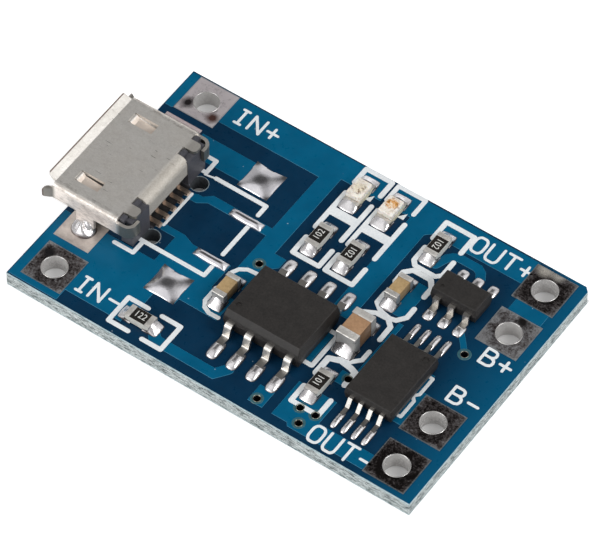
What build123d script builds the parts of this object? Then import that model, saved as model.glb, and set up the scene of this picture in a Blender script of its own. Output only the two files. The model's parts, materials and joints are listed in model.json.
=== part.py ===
from build123d import *

import os
from math import atan2, cos, degrees, radians, sin

# Charger board for one lithium cell, with every soldered part. All sizes are in millimetres.
# The origin is the centre of the board's underside. +X runs along the board from the
# micro-USB end to the output end, +Y points at the positive terminals, +Z is up.

# Board, and the gaps that its rows of parts keep between them
BOARD_LENGTH = 26.0
BOARD_THICKNESS = 1.0
COPPER_THICKNESS = 0.035
TIN_THICKNESS = 0.03
BROKEN_CORNER = 0.25
INPUT_COLUMN_GAPS = (0.45, 0.46, 0.65, 0.1)
OUTPUT_COLUMN_GAPS = (0.32, 0.73, 4.5, 0.85, 0.2)
LENGTHWISE_GAPS = (0, 1.85, 1.45, 0.69, 0.515, 1.045, 0.38, 0.6)
LED_COLUMN_GAPS = (1.6, 0.58, 1.07, 0.5)
PASSIVE_COLUMN_GAPS = (2.17, 0.88, 0.87, 1.03, 1.2)
OUTPUT_CHIP_GAPS = (1.65, 0.38, 2.77)
INPUT_CAPACITOR_GAPS = (4.28, 10.07)

# Terminals: square plated pads with a wire hole, lined with copper and solder
TERMINAL_PAD = 2.6
TERMINAL_HOLE = 1.4
TERMINAL_LINING = 0.18
TERMINAL_END_INSET = 1.9

# Vias
VIA_HOLE = 0.4

# Micro-USB receptacle: folded sheet shell
SHELL_OVERHANG = 0.48
SHELL_DEPTH = 5.2
SHELL_WIDTH = 7.5
SHELL_TAPER = 0.75
SHELL_HEIGHT = 2.22
SHELL_WALL_HEIGHT = 1.15
SHEET = 0.2
FOLD_RADIUS = 0.3
REAR_OPENING = 0.98
LIP_REACH = 0.62
LIP_ANGLE = 30.0
LIP_TOP_SETBACK = 0.35
LIP_FLOOR_SETBACK = 0.6
LIP_SIDE_HEIGHT = 0.72
LIP_CORNER = 0.25
COVER_DROP = 1.25
COVER_FOLD = 0.4
CORNER_WINDOW = 0.7
CORNER_TAB_WIDTH = 0.68
NOTCH_WIDTH = 0.57
STRAP_HEIGHT = 0.85
STRAP_RETURN = 0.75
STRAP_FOLD = 0.45
SPRING_SETBACK = 0.75
SPRING_LENGTH = 1.55
SPRING_WIDTH = 0.72
SPRING_INSET = 1.33
SPRING_DROP = 0.3
SPRING_GAP = 0.06
LEG_SETBACK = 1.55
LEG_WIDTH = 1.15
LEG_SOLDER_HEIGHT = 0.4

# Micro-USB receptacle: moulding, contacts and their lands
HOUSING_CLEARANCE = 0.04
LAND_CLEARANCE = 0.02
HOUSING_BLOCK = 1.0
HOUSING_SIDE_GAP = 0.25
TONGUE_LENGTH = 2.7
TONGUE_MARGIN = 0.41
TONGUE_THICKNESS = 0.6
TONGUE_TOP_GAP = 0.36
TAIL_LEDGE = 0.12
TAIL_MARGIN = 0.31
CONTACTS = 5
CONTACT_PITCH = 0.65
CONTACT_WIDTH = 0.28
CONTACT_THICKNESS = 0.12
CONTACT_TIP = 0.35
CONTACT_TAIL = 0.75
CONTACT_LAND_WIDTH = 0.38
CONTACT_LAND_LENGTH = 0.85
SHELL_LAND = 2.3
SHELL_LAND_OUTSIDE = 1.32
SHELL_LAND_INSIDE = 0.62
LOCATING_HOLE = 1.0
LOCATING_PITCH = 4.4
LOCATING_SETBACK = 0.15

# Spare lands beside the receptacle, each carrying a mound of solder
MOUND_LENGTH = 1.9
MOUND_HEIGHT = 0.32
MOUND_RIDGE = 0.16
MOUND_OFFSET = 4.27
RIDGE_SHIFT = 0.88
RIDGE_LENGTH = 2.12
RIDGE_WIDTH = 0.58
RIDGE_HEIGHT = 0.22
RIDGE_OFFSET = 1.63

# Moulded chips, length along X and leads pointing along Y. Body is length, width, height;
# lead is width, thickness; land is width, inner end, outer end
CHARGER_BODY = (4.9, 3.85, 1.45)
CHARGER_PITCH = 1.27
CHARGER_LEAD = (0.42, 0.2)
CHARGER_SPAN = 6.0
CHARGER_FOOT = 0.65
CHARGER_LAND = (0.62, 2.35, 3.95)
CHARGER_BEVEL = (0.28, 0.42)

SWITCH_BODY = (3.0, 4.4, 0.9)
SWITCH_PITCH = 0.65
SWITCH_LEAD = (0.24, 0.13)
SWITCH_SPAN = 6.4
SWITCH_FOOT = 0.55
SWITCH_LAND = (0.38, 2.55, 4.1)

GUARD_BODY = (2.9, 1.6, 1.05)
GUARD_PITCH = 0.95
GUARD_LEAD = (0.38, 0.14)
GUARD_SPAN = 2.8
GUARD_FOOT = 0.4
GUARD_LAND = (0.62, 0.95, 2.0)

CHIP_STANDOFF = 0.1
CHIP_DRAFT = 8.0
LEAD_GRIP = 0.3
DIMPLE = 0.4
DIMPLE_DEPTH = 0.05
DIMPLE_INSET = 0.5

# Small two-ended parts: length, width, height
RESISTOR = (1.6, 0.82, 0.47)
CAPACITOR = (1.65, 0.82, 0.8)
TANK_CAPACITOR = (2.0, 1.25, 1.25)
LED = (1.75, 0.96, 0.62)
RESISTOR_END = 0.32
CAPACITOR_END = 0.34
TANK_END = 0.48
END_PLATING = 0.03
END_BEVEL = 0.05
LED_BASE = 0.24
LED_LENS = 1.28
LED_END = 0.26
LED_DRAFT = 4.0
LED_PITCH = 2.08
LED_SHIFT = -0.64
END_LAND = 0.5
END_LAND_INSIDE = 0.4
SIDE_LAND = 0.07
FILLET_RISE = 0.72
SOLDER_SETBACK = 0.03
COLLAR_SLOPE = 30.0
SET_RESISTOR_SHIFT = 0.26
SET_RESISTOR_INSET = 1.5
TANK_SHIFT = 0.2

# Derived levels and edges
LAND_TOP = BOARD_THICKNESS + TIN_THICKNESS
SHELL_TOP = BOARD_THICKNESS + SHELL_HEIGHT
SHELL_FLOOR_WIDTH = SHELL_WIDTH - 2 * SHELL_TAPER
SHELL_LANDS_SPAN = SHELL_WIDTH + 2 * SHELL_LAND_OUTSIDE
BOARD_WIDTH = SHELL_LANDS_SPAN + 2 * TERMINAL_PAD + sum(INPUT_COLUMN_GAPS)
EAST = BOARD_LENGTH / 2
NORTH = BOARD_WIDTH / 2
SHELL_FRONT = -EAST - SHELL_OVERHANG
SHELL_REAR = SHELL_FRONT + SHELL_DEPTH
TUBE_REAR = SHELL_REAR - REAR_OPENING
COVER_WIDTH = SHELL_WIDTH - 2 * (CORNER_WINDOW + CORNER_TAB_WIDTH + NOTCH_WIDTH)
MID_SHEET = SHEET / 2
CONTACT_SPAN = (CONTACTS - 1) * CONTACT_PITCH + CONTACT_WIDTH
LOCATING_X = SHELL_REAR + LOCATING_SETBACK


def spread(length, sizes, gaps):
    """Centres of a row of parts, with its gaps stretched alike so that the row fills the length."""
    stretch = (length - sum(sizes)) / sum(gaps)
    edge, centres = -length / 2, []
    for size, gap in zip(sizes, gaps):
        edge += gap * stretch
        centres.append(edge + size / 2)
        edge += size
    return centres


def landed(part, crosswise=False):
    """Room that a two-ended part takes along its length or across it, its lands included."""
    return part[1] + 2 * SIDE_LAND if crosswise else part[0] + 2 * END_LAND


# Places of the parts, from the south-west corner on
IN_MINUS_Y, USB_Y, IN_PLUS_Y = spread(
    BOARD_WIDTH, (TERMINAL_PAD, SHELL_LANDS_SPAN, TERMINAL_PAD), INPUT_COLUMN_GAPS)
OUT_MINUS_Y, BATTERY_MINUS_Y, BATTERY_PLUS_Y, OUT_PLUS_Y = spread(
    BOARD_WIDTH, 4 * (TERMINAL_PAD,), OUTPUT_COLUMN_GAPS)
_, MOUND_X, INPUT_CAPACITOR_X, CHARGER_X, TANK_X, SWITCH_X, OUTPUT_X = spread(
    BOARD_LENGTH, (SHELL_DEPTH - SHELL_OVERHANG, MOUND_LENGTH, landed(CAPACITOR, True),
                   CHARGER_BODY[0], landed(TANK_CAPACITOR, True), SWITCH_BODY[0], TERMINAL_PAD),
    LENGTHWISE_GAPS)
INPUT_CAPACITOR_Y, = spread(BOARD_WIDTH, (landed(CAPACITOR),), INPUT_CAPACITOR_GAPS)
CHARGER_Y, LED_RESISTOR_Y, LED_Y = spread(
    BOARD_WIDTH, (2 * CHARGER_LAND[2], landed(RESISTOR), landed(LED)), LED_COLUMN_GAPS)
FILTER_RESISTOR_Y, TANK_Y, FILTER_CAPACITOR_Y, SENSE_RESISTOR_Y = spread(
    BOARD_WIDTH, (landed(RESISTOR), landed(TANK_CAPACITOR), landed(CAPACITOR), landed(RESISTOR)),
    PASSIVE_COLUMN_GAPS)
SWITCH_Y, GUARD_Y = spread(BOARD_WIDTH, (2 * SWITCH_LAND[2], 2 * GUARD_LAND[2]), OUTPUT_CHIP_GAPS)
PASSIVE_X = TANK_X + TANK_SHIFT
LED_X = CHARGER_X + LED_SHIFT

TERMINALS = {
    "in_plus_terminal": (-EAST + TERMINAL_END_INSET, IN_PLUS_Y),
    "in_minus_terminal": (-EAST + TERMINAL_END_INSET, IN_MINUS_Y),
    "out_plus_terminal": (OUTPUT_X, OUT_PLUS_Y),
    "out_minus_terminal": (OUTPUT_X, OUT_MINUS_Y),
    "battery_plus_terminal": (OUTPUT_X, BATTERY_PLUS_Y),
    "battery_minus_terminal": (OUTPUT_X, BATTERY_MINUS_Y),
}
# Each via: the part it belongs to, and its shift from that part
VIAS = [(x + dx, y + dy) for x, y, dx, dy in (
    (INPUT_CAPACITOR_X, INPUT_CAPACITOR_Y, 0.26, 2.63), (CHARGER_X, CHARGER_Y, 1.68, -4.6),
    (PASSIVE_X, FILTER_RESISTOR_Y, 0.0, -1.7), (PASSIVE_X, FILTER_RESISTOR_Y, 0.94, -1.65),
    (PASSIVE_X, FILTER_RESISTOR_Y, 0.51, -2.56), (PASSIVE_X, FILTER_RESISTOR_Y, 1.01, 1.26),
    (OUTPUT_X, BATTERY_PLUS_Y, -1.15, -2.48))]
# Place and turn about Z of each resistor, capacitor and LED
RESISTORS = {
    "charge_led_resistor": (LED_X - LED_PITCH / 2, LED_RESISTOR_Y, 90),
    "standby_led_resistor": (LED_X + LED_PITCH / 2, LED_RESISTOR_Y, 90),
    "sense_resistor": (PASSIVE_X, SENSE_RESISTOR_Y, 90),
    "filter_resistor": (PASSIVE_X, FILTER_RESISTOR_Y, 90),
    "current_set_resistor": (MOUND_X + SET_RESISTOR_SHIFT, -NORTH + SET_RESISTOR_INSET, 0),
}
CAPACITORS = {
    "input_capacitor": (CAPACITOR, CAPACITOR_END, INPUT_CAPACITOR_X, INPUT_CAPACITOR_Y, 90),
    "filter_capacitor": (CAPACITOR, CAPACITOR_END, PASSIVE_X, FILTER_CAPACITOR_Y, 90),
    "battery_capacitor": (TANK_CAPACITOR, TANK_END, TANK_X, TANK_Y, 90),
}
LEDS = {"charge_led": (LED_X - LED_PITCH / 2, LED_Y), "standby_led": (LED_X + LED_PITCH / 2, LED_Y)}


# Helper shapes
def block(x, y, z):
    """Box between the low and high values given for each axis."""
    low, high = zip(x, y, z)
    size = [b - a for a, b in zip(low, high)]
    return Pos(*[(a + b) / 2 for a, b in zip(low, high)]) * Box(*size)


def rod(x, y, radius, low, high):
    """Upright cylinder."""
    return Pos(x, y, (low + high) / 2) * Cylinder(radius, high - low)


def strip(plane, points, radius, thickness, width):
    """Folded strip: the line through the points, with rounded folds, drawn in the plane."""
    line = FilletPolyline(*points, radius=radius)
    return extrude(plane * trace(line, line_width=thickness), amount=width / 2, both=True)


def folded(plane, points, thickness, width):
    """Thin strip whose folds are too small to be drawn round."""
    return extrude(plane * trace(Polyline(*points), line_width=thickness), amount=width / 2, both=True)


def prism(plane, outline, width):
    """Closed outline drawn in the plane and thickened both ways."""
    return extrude(plane * outline, amount=width / 2, both=True)


def mirrored(shape, y=0.0):
    """The shape and its mirror image across the line y."""
    return [shape, Pos(0, y, 0) * mirror(Pos(0, -y, 0) * shape, Plane.XZ)]


def hollow(reach, rise):
    """Hollow fillet of solder between an upright face at zero and a flat land."""
    if rise > reach:
        curve = TangentArc((0, rise), (reach, 0), tangent=(0, -1))
    else:
        curve = TangentArc((reach, 0), (0, rise), tangent=(-1, 0))
    return make_face([curve, Polyline((reach, 0), (0, 0), (0, rise))])


def area(*corners):
    return make_face(Polyline(*corners, close=True))


def join(shapes):
    """One solid from shapes that touch."""
    shapes = list(shapes)
    return shapes[0].fuse(*shapes[1:]) if len(shapes) > 1 else shapes[0]


def save(name, *shapes):
    """Write one sub-part, which may be a group of separate solids."""
    solids = [solid for shape in shapes for solid in shape.solids()]
    export_step(Compound(children=solids) if len(solids) > 1 else solids[0], f"parts/{name}.step")


# Board and terminals
def terminal(x, y):
    """Square pad on each face, joined by the lined hole."""
    half = TERMINAL_PAD / 2
    span = (x - half, x + half), (y - half, y + half)
    pads = [block(*span, (BOARD_THICKNESS, LAND_TOP)), block(*span, (0, COPPER_THICKNESS))]
    tube = rod(x, y, TERMINAL_HOLE / 2 + TERMINAL_LINING, 0, LAND_TOP)
    return join([tube, *pads]) - rod(x, y, TERMINAL_HOLE / 2, -BOARD_THICKNESS, 2 * BOARD_THICKNESS)


def circuit_board():
    """Glass-fibre board, drilled, and pocketed for the pads on its underside."""
    slab = block((-EAST, EAST), (-NORTH, NORTH), (0, BOARD_THICKNESS))
    corner = slab.edges().filter_by(Axis.Z).sort_by(lambda edge: edge.center().X + edge.center().Y)[-1]
    slab = chamfer(corner, BROKEN_CORNER)
    half = TERMINAL_PAD / 2
    drills = [(x, y, VIA_HOLE / 2) for x, y in VIAS]
    drills += [(LOCATING_X, USB_Y + side * LOCATING_PITCH / 2, LOCATING_HOLE / 2) for side in (-1, 1)]
    drills += [(x, y, TERMINAL_HOLE / 2 + TERMINAL_LINING) for x, y in TERMINALS.values()]
    pockets = [block((x - half, x + half), (y - half, y + half), (0, COPPER_THICKNESS))
               for x, y in TERMINALS.values()]
    return slab.cut(*[rod(x, y, radius, 0, BOARD_THICKNESS) for x, y, radius in drills], *pockets)


# Micro-USB receptacle
def shell_outline(inset):
    """Cross-section of the folded tube: wide above, drawn in below, sheet edges rounded."""
    top, floor = SHELL_TOP, BOARD_THICKNESS
    wide, narrow = SHELL_WIDTH / 2, SHELL_FLOOR_WIDTH / 2
    waist = top - SHELL_WALL_HEIGHT
    outline = area((-wide, top), (wide, top), (wide, waist), (narrow, floor), (-narrow, floor),
                   (-wide, waist))
    outline = fillet(outline.vertices(), FOLD_RADIUS)
    return Pos(USB_Y, 0) * (offset(outline, amount=-inset) if inset else outline)


def shell_core(inset, front, rear):
    return Pos(front, 0, 0) * extrude(Plane.YZ * shell_outline(inset), amount=rear - front)


def shell_lips():
    """Four flared lips round the mouth."""
    out, rise = LIP_REACH * cos(radians(LIP_ANGLE)), LIP_REACH * sin(radians(LIP_ANGLE))
    root, tip = SHELL_FRONT + 2 * SHEET, SHELL_FRONT - out
    lips = []
    top_width = SHELL_WIDTH - 2 * LIP_TOP_SETBACK
    floor_width = SHELL_FLOOR_WIDTH - 2 * LIP_FLOOR_SETBACK
    for level, way, width in ((SHELL_TOP - MID_SHEET, 1, top_width),
                              (BOARD_THICKNESS + MID_SHEET, -1, floor_width)):
        lip = strip(Plane.XZ, [(root, level), (SHELL_FRONT, level), (tip, level + way * rise)],
                    SHEET, SHEET, width)
        plan = Rectangle(2 * (root - tip), width)
        plan = extrude(fillet(plan.vertices(), LIP_CORNER), amount=2 * SHELL_HEIGHT, both=True)
        lips.append(Pos(0, USB_Y, 0) * (lip & Pos(root, 0, 0) * plan))
    side = SHELL_WIDTH / 2 - MID_SHEET
    level = SHELL_TOP - (SHELL_WALL_HEIGHT + FOLD_RADIUS) / 2
    lip = strip(Plane.XY, [(root, side), (SHELL_FRONT, side), (tip, side + rise)],
                SHEET, SHEET, LIP_SIDE_HEIGHT)
    plan = Rectangle(2 * (root - tip), LIP_SIDE_HEIGHT)
    plan = prism(Plane.XZ, fillet(plan.vertices(), LIP_CORNER), 2 * SHELL_WIDTH)
    lip = Pos(0, USB_Y, level) * (lip & Pos(root, 0, 0) * plan)
    return lips + mirrored(lip, USB_Y)


def shell_cover():
    """Middle of the top sheet, folded down behind the moulding."""
    level, back = SHELL_TOP - MID_SHEET, cover_back() - MID_SHEET
    cover = strip(Plane.XZ, [(TUBE_REAR - SHEET, level), (back, level), (back, SHELL_TOP - COVER_DROP)],
                  COVER_FOLD, SHEET, COVER_WIDTH)
    return Pos(0, USB_Y, 0) * cover


def cover_back():
    return TUBE_REAR + SHEET + COVER_FOLD + MID_SHEET


def shell_corners():
    """Flat tabs beside the notches, and the side walls folded in round the back corners."""
    tab_start = COVER_WIDTH / 2 + NOTCH_WIDTH
    tab = block((TUBE_REAR - SHEET, SHELL_REAR - SHEET), (tab_start, tab_start + CORNER_TAB_WIDTH),
                (SHELL_TOP - SHEET, SHELL_TOP))
    corners = tab.edges().filter_by(Axis.Z).sort_by(Axis.X)[-2:]
    tab = Pos(0, USB_Y, 0) * fillet(corners, LIP_CORNER)
    side, back = SHELL_WIDTH / 2 - MID_SHEET, SHELL_REAR - MID_SHEET
    level = SHELL_TOP - SHELL_WALL_HEIGHT + STRAP_HEIGHT / 2
    strap = strip(Plane.XY, [(TUBE_REAR - SHEET, side), (back, side), (back, side - STRAP_RETURN)],
                  STRAP_FOLD, SHEET, STRAP_HEIGHT)
    return mirrored(tab, USB_Y) + mirrored(Pos(0, USB_Y, level) * strap, USB_Y)


def spring(outside):
    """Latch spring of the mouth, pressed down out of its window in the top sheet."""
    start, level = SHELL_FRONT + SPRING_SETBACK, SHELL_TOP - MID_SHEET
    end = start + SPRING_LENGTH
    if outside:
        half = SPRING_WIDTH / 2
        window = block((start, end), (-half, half), (SHELL_TOP - 2 * SHEET, SHELL_TOP + SHEET))
        return Pos(0, USB_Y + SHELL_WIDTH / 2 - SPRING_INSET, 0) * window
    points = [(start - SHEET, level), (start + SHEET / 2, level),
              (start + 1.5 * SHEET, level - SHEET), (end - SPRING_GAP, level - SPRING_DROP)]
    tongue = strip(Plane.XZ, points, MID_SHEET, SHEET * 0.75, SPRING_WIDTH - 2 * SPRING_GAP)
    return Pos(0, USB_Y + SHELL_WIDTH / 2 - SPRING_INSET, 0) * tongue


def legs():
    """Front legs, which stand on the shell lands and are soldered there."""
    start = SHELL_FRONT + LEG_SETBACK
    side = SHELL_WIDTH / 2
    leg = block((start, start + LEG_WIDTH), (USB_Y + side - SHEET, USB_Y + side),
                (LAND_TOP, SHELL_TOP - FOLD_RADIUS))
    return mirrored(leg, USB_Y)


def usb_shell():
    tube = shell_core(0, SHELL_FRONT, TUBE_REAR) - shell_core(SHEET, SHELL_FRONT - SHEET, TUBE_REAR + SHEET)
    tube = tube.cut(*mirrored(spring(True), USB_Y))
    return join([tube, *shell_lips(), shell_cover(), *shell_corners(), *mirrored(spring(False), USB_Y),
                 *legs()])


def contact_level():
    return SHELL_TOP - SHEET - TONGUE_TOP_GAP - TONGUE_THICKNESS + CONTACT_THICKNESS / 2


def contact_back():
    """Plane where the contacts turn down behind the moulding."""
    return cover_back() - SHEET - HOUSING_CLEARANCE - CONTACT_THICKNESS


def contact_rows():
    """Centre lines of the contacts, from the ground side to the supply side."""
    return [USB_Y + (index - (CONTACTS - 1) / 2) * CONTACT_PITCH for index in range(CONTACTS)]


def usb_contact(y):
    """Contact under the tongue, down behind the moulding and out to its land."""
    tip = TUBE_REAR - HOUSING_BLOCK - TONGUE_LENGTH + CONTACT_TIP
    foot = LAND_TOP + CONTACT_THICKNESS / 2
    points = [(tip, contact_level()), (contact_back(), contact_level()), (contact_back(), foot),
              (contact_back() + CONTACT_TAIL, foot)]
    return Pos(0, y, 0) * folded(Plane.XZ, points, CONTACT_THICKNESS, CONTACT_WIDTH)


def usb_housing(contacts, shell):
    """Black moulding: the block in the shell, its back corners, the tongue and the tail ledge."""
    gap = HOUSING_CLEARANCE
    front = TUBE_REAR - HOUSING_BLOCK
    face = contact_back() + CONTACT_THICKNESS / 2
    wings = SHELL_REAR - SHEET - gap
    half, wing = CONTACT_SPAN / 2 + TONGUE_MARGIN, SHELL_WIDTH / 2 - SHEET - HOUSING_SIDE_GAP
    tail = CONTACT_SPAN / 2 + TAIL_MARGIN
    top = SHELL_TOP - SHEET - TONGUE_TOP_GAP
    inner = shell_core(SHEET + gap, front, TUBE_REAR)
    tongue = block((front - TONGUE_LENGTH, front + gap), (USB_Y - half, USB_Y + half),
                   (top - TONGUE_THICKNESS, top))
    back = block((TUBE_REAR, wings), (USB_Y - wing, USB_Y + wing),
                 (BOARD_THICKNESS, SHELL_TOP - SHEET - gap))
    recess = block((face, wings + gap), (USB_Y - tail, USB_Y + tail), (BOARD_THICKNESS, SHELL_TOP))
    ledge = block((face - gap, face + CONTACT_TAIL - 2 * CONTACT_THICKNESS), (USB_Y - tail, USB_Y + tail),
                  (BOARD_THICKNESS, BOARD_THICKNESS + TAIL_LEDGE))
    lands = [block((face - SHEET, wings + CONTACT_TAIL), (land_y - CONTACT_LAND_WIDTH / 2 - LAND_CLEARANCE,
                                                          land_y + CONTACT_LAND_WIDTH / 2 + LAND_CLEARANCE),
                   (BOARD_THICKNESS, LAND_TOP)) for land_y in contact_rows()]
    keys = []
    for start, width in ((COVER_WIDTH / 2, NOTCH_WIDTH),
                         (COVER_WIDTH / 2 + NOTCH_WIDTH + CORNER_TAB_WIDTH, NOTCH_WIDTH - MID_SHEET)):
        keys.append(block((TUBE_REAR + gap, wings - 2 * SHEET), (USB_Y + start + gap,
                                                                 USB_Y + start + width - gap),
                          (SHELL_TOP - 2 * SHEET, SHELL_TOP - SHEET / 2)))
    body = join([inner, tongue, (back - recess), ledge])
    body = join([body, *[half_key for key in keys for half_key in mirrored(key, USB_Y)]])
    return body.cut(*contacts, *lands, shell)


def usb_lands():
    """Tinned lands under the shell legs and the contact tails."""
    start = SHELL_FRONT + LEG_SETBACK + LEG_WIDTH / 2 - SHELL_LAND / 2
    side = SHELL_WIDTH / 2
    shell_land = block((start, start + SHELL_LAND),
                       (USB_Y + side - SHELL_LAND_INSIDE, USB_Y + side + SHELL_LAND_OUTSIDE),
                       (BOARD_THICKNESS, LAND_TOP))
    tip = contact_back() + CONTACT_TAIL
    half = CONTACT_LAND_WIDTH / 2
    tails = [block((tip - CONTACT_LAND_LENGTH + SHEET / 2, tip + SHEET / 2), (y - half, y + half),
                   (BOARD_THICKNESS, LAND_TOP)) for y in contact_rows()]
    return mirrored(shell_land, USB_Y) + tails


def usb_leg_solder(shell):
    """Rounded solder joint round the foot of each front leg."""
    x = SHELL_FRONT + LEG_SETBACK + LEG_WIDTH / 2
    y = USB_Y + SHELL_WIDTH / 2
    radius = LEG_WIDTH / 2
    dome = Pos(x, y, LAND_TOP) * Sphere(radius)
    dome = dome & block((x - radius, x + radius), (y - SHEET, y + radius),
                        (LAND_TOP, LAND_TOP + LEG_SOLDER_HEIGHT))
    return [joint - shell for joint in mirrored(dome, USB_Y)]


def spare_solder():
    """Hipped mounds and long ridges of solder on the lands of another connector pattern."""
    base = Rectangle(MOUND_LENGTH, MOUND_LENGTH)
    crown = Plane.XY.offset(MOUND_HEIGHT) * Rectangle(MOUND_RIDGE, MOUND_RIDGE)
    mound = join([loft([base, crown], ruled=True), extrude(base, amount=-TIN_THICKNESS)])
    profile = make_face([Line((-RIDGE_WIDTH / 2, 0), (RIDGE_WIDTH / 2, 0)),
                         ThreePointArc((RIDGE_WIDTH / 2, 0), (0, RIDGE_HEIGHT), (-RIDGE_WIDTH / 2, 0))])
    ridge = prism(Plane.YZ, profile, RIDGE_LENGTH)
    land = block((-RIDGE_LENGTH / 2, RIDGE_LENGTH / 2), (-RIDGE_WIDTH / 2, RIDGE_WIDTH / 2),
                 (-TIN_THICKNESS, 0))
    mound = Pos(MOUND_X, USB_Y + MOUND_OFFSET, LAND_TOP) * mound
    ridge = Pos(MOUND_X + RIDGE_SHIFT, USB_Y + RIDGE_OFFSET, LAND_TOP) * join([ridge, land])
    return mirrored(mound, USB_Y) + mirrored(ridge, USB_Y)


# Moulded chips with gull-wing leads
def chip_leads(body, lead, pitch, per_side, span, foot, rounded):
    """Leads of both long sides, standing on the land plane at zero."""
    width, thickness = lead
    waist = CHIP_STANDOFF + body[2] / 2
    edge = body[1] / 2
    points = [(edge - LEAD_GRIP, waist), (edge + thickness, waist),
              (span / 2 - foot, thickness / 2), (span / 2, thickness / 2)]
    if rounded:
        one = strip(Plane.YZ, points, thickness, thickness, width)
    else:
        one = folded(Plane.YZ, points, thickness, width)
    row = [Pos((index - (per_side - 1) / 2) * pitch, 0, 0) * one for index in range(per_side)]
    return [lead for shape in row for lead in mirrored(shape)]


def chip_body(size, leads, bevel=None, dimple=(-1, -1)):
    """Moulded body, drafted up and down from its waist and pocketed for the leads."""
    length, width, height = size
    middle = CHIP_STANDOFF + height / 2
    waist = Rectangle(length, width)
    upper = extrude(waist, amount=height / 2, taper=CHIP_DRAFT)
    body = Pos(0, 0, middle) * join([upper, mirror(upper, Plane.XY)])
    top = CHIP_STANDOFF + height
    if bevel:
        across, down = bevel
        edge = -width / 2
        corner = area((edge - across, top + down), (edge - across, top - down), (edge, top - down),
                      (edge + across, top), (edge + across, top + down))
        body = body - prism(Plane.YZ, corner, 2 * length)
    x, y = dimple[0] * (length / 2 - DIMPLE_INSET), dimple[1] * (width / 2 - DIMPLE_INSET)
    body = body - rod(x, y, DIMPLE / 2, top - DIMPLE_DEPTH, top + DIMPLE_DEPTH)
    return body.cut(*leads)


def chip_solder(lead, pitch, per_side, span, foot, land, leads):
    """Land under each lead, with the fillet at its toe."""
    width, inner, outer = land
    toe, rise = span / 2, lead[1]
    base = block((-width / 2, width / 2), (inner, outer), (-TIN_THICKNESS, 0))
    slope = Pos(0, toe, 0) * prism(Plane.YZ, area((0, 0), (outer - toe - SIDE_LAND, 0), (0, rise)), lead[0])
    collar = Rectangle(width - 2 * SOLDER_SETBACK, foot + SOLDER_SETBACK)
    collar = extrude(Pos(0, toe + (SOLDER_SETBACK - foot) / 2) * collar, amount=rise / 2, taper=COLLAR_SLOPE)
    joint = join([base, slope, collar])
    row = [Pos((index - (per_side - 1) / 2) * pitch, 0, 0) * joint for index in range(per_side)]
    return [joint.cut(*leads) for shape in row for joint in mirrored(shape)]


def chip(body, lead, pitch, per_side, span, foot, land, rounded=False, **details):
    leads = chip_leads(body, lead, pitch, per_side, span, foot, rounded)
    return {"body": [chip_body(body, leads, **details)], "leads": leads,
            "solder": chip_solder(lead, pitch, per_side, span, foot, land, leads)}


# Small two-ended parts, length along X, standing on the land plane at zero
def both_ends(shape):
    return [shape, mirror(shape, Plane.YZ)]


def resistor():
    """Ceramic slab with wrapped metal ends and a glazed top."""
    length, width, height = RESISTOR
    skin, end = END_PLATING, length / 2 - RESISTOR_END
    ceramic = block((-length / 2 + skin, length / 2 - skin), (-width / 2, width / 2), (skin, height - skin))
    cap = block((end, length / 2), (-width / 2, width / 2), (0, height)) - ceramic
    glaze = block((-end, end), (-width / 2 + skin, width / 2 - skin), (height - skin, height))
    return {"ceramic": [ceramic], "ends": both_ends(cap), "glaze": [glaze]}


def capacitor(size, end_width):
    """Ceramic block with a metal cap over each end."""
    length, width, height = size
    skin = END_PLATING
    ceramic = block((-length / 2 + skin, length / 2 - skin), (-width / 2 + skin, width / 2 - skin),
                    (skin, height - skin))
    cap = block((length / 2 - end_width, length / 2), (-width / 2, width / 2), (0, height))
    outer = cap.faces().sort_by(Axis.X)[-1].edges()
    return {"ceramic": [ceramic], "ends": both_ends(chamfer(outer, END_BEVEL) - ceramic)}


def led():
    """Carrier with plated ends and a clear cast lens."""
    length, width, height = LED
    skin = END_PLATING
    carrier = block((-length / 2, length / 2), (-width / 2, width / 2), (0, LED_BASE))
    inner = block((-length / 2 + LED_END, length / 2 - LED_END), (-width / 2, width / 2), (0, LED_BASE))
    core = block((-length / 2 + skin, length / 2 - skin), (-width / 2, width / 2), (skin, LED_BASE - skin))
    base = join([inner, core])
    lens = extrude(Rectangle(LED_LENS, width), amount=height - LED_BASE, taper=LED_DRAFT)
    return {"base": [base], "ends": (carrier - base).solids(), "lens": [Pos(0, 0, LED_BASE) * lens]}


def end_solder(size, rise):
    """Lands under both ends, with a concave fillet up each end face."""
    length, width, height = size
    outer, top = length / 2 + END_LAND, rise * height
    half = width / 2 + SIDE_LAND
    base = block((length / 2 - END_LAND_INSIDE, outer), (-half, half), (-TIN_THICKNESS, 0))
    slope = Pos(length / 2, 0, 0) * prism(Plane.XZ, hollow(END_LAND, top), width)
    return both_ends(join([base, slope]))


def place(shapes, x, y, turn=0):
    return [Pos(x, y, LAND_TOP) * Rot(0, 0, turn) * shape for shape in shapes]


def small_parts():
    """Every two-ended part and all their solder joints."""
    nodes, joints = {}, []
    for name, (x, y, turn) in RESISTORS.items():
        for piece, shapes in resistor().items():
            nodes[f"{name}_{piece}"] = place(shapes, x, y, turn)
        joints += place(end_solder(RESISTOR, FILLET_RISE), x, y, turn)
    for name, (size, end_width, x, y, turn) in CAPACITORS.items():
        for piece, shapes in capacitor(size, end_width).items():
            nodes[f"{name}_{piece}"] = place(shapes, x, y, turn)
        joints += place(end_solder(size, FILLET_RISE), x, y, turn)
    for name, (x, y) in LEDS.items():
        for piece, shapes in led().items():
            nodes[f"{name}_{piece}"] = place(shapes, x, y, 90)
        lands = end_solder(LED, LED_BASE / LED[2])
        joints += place(lands, x, y, 90)
    nodes["small_part_solder"] = joints
    return nodes


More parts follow.
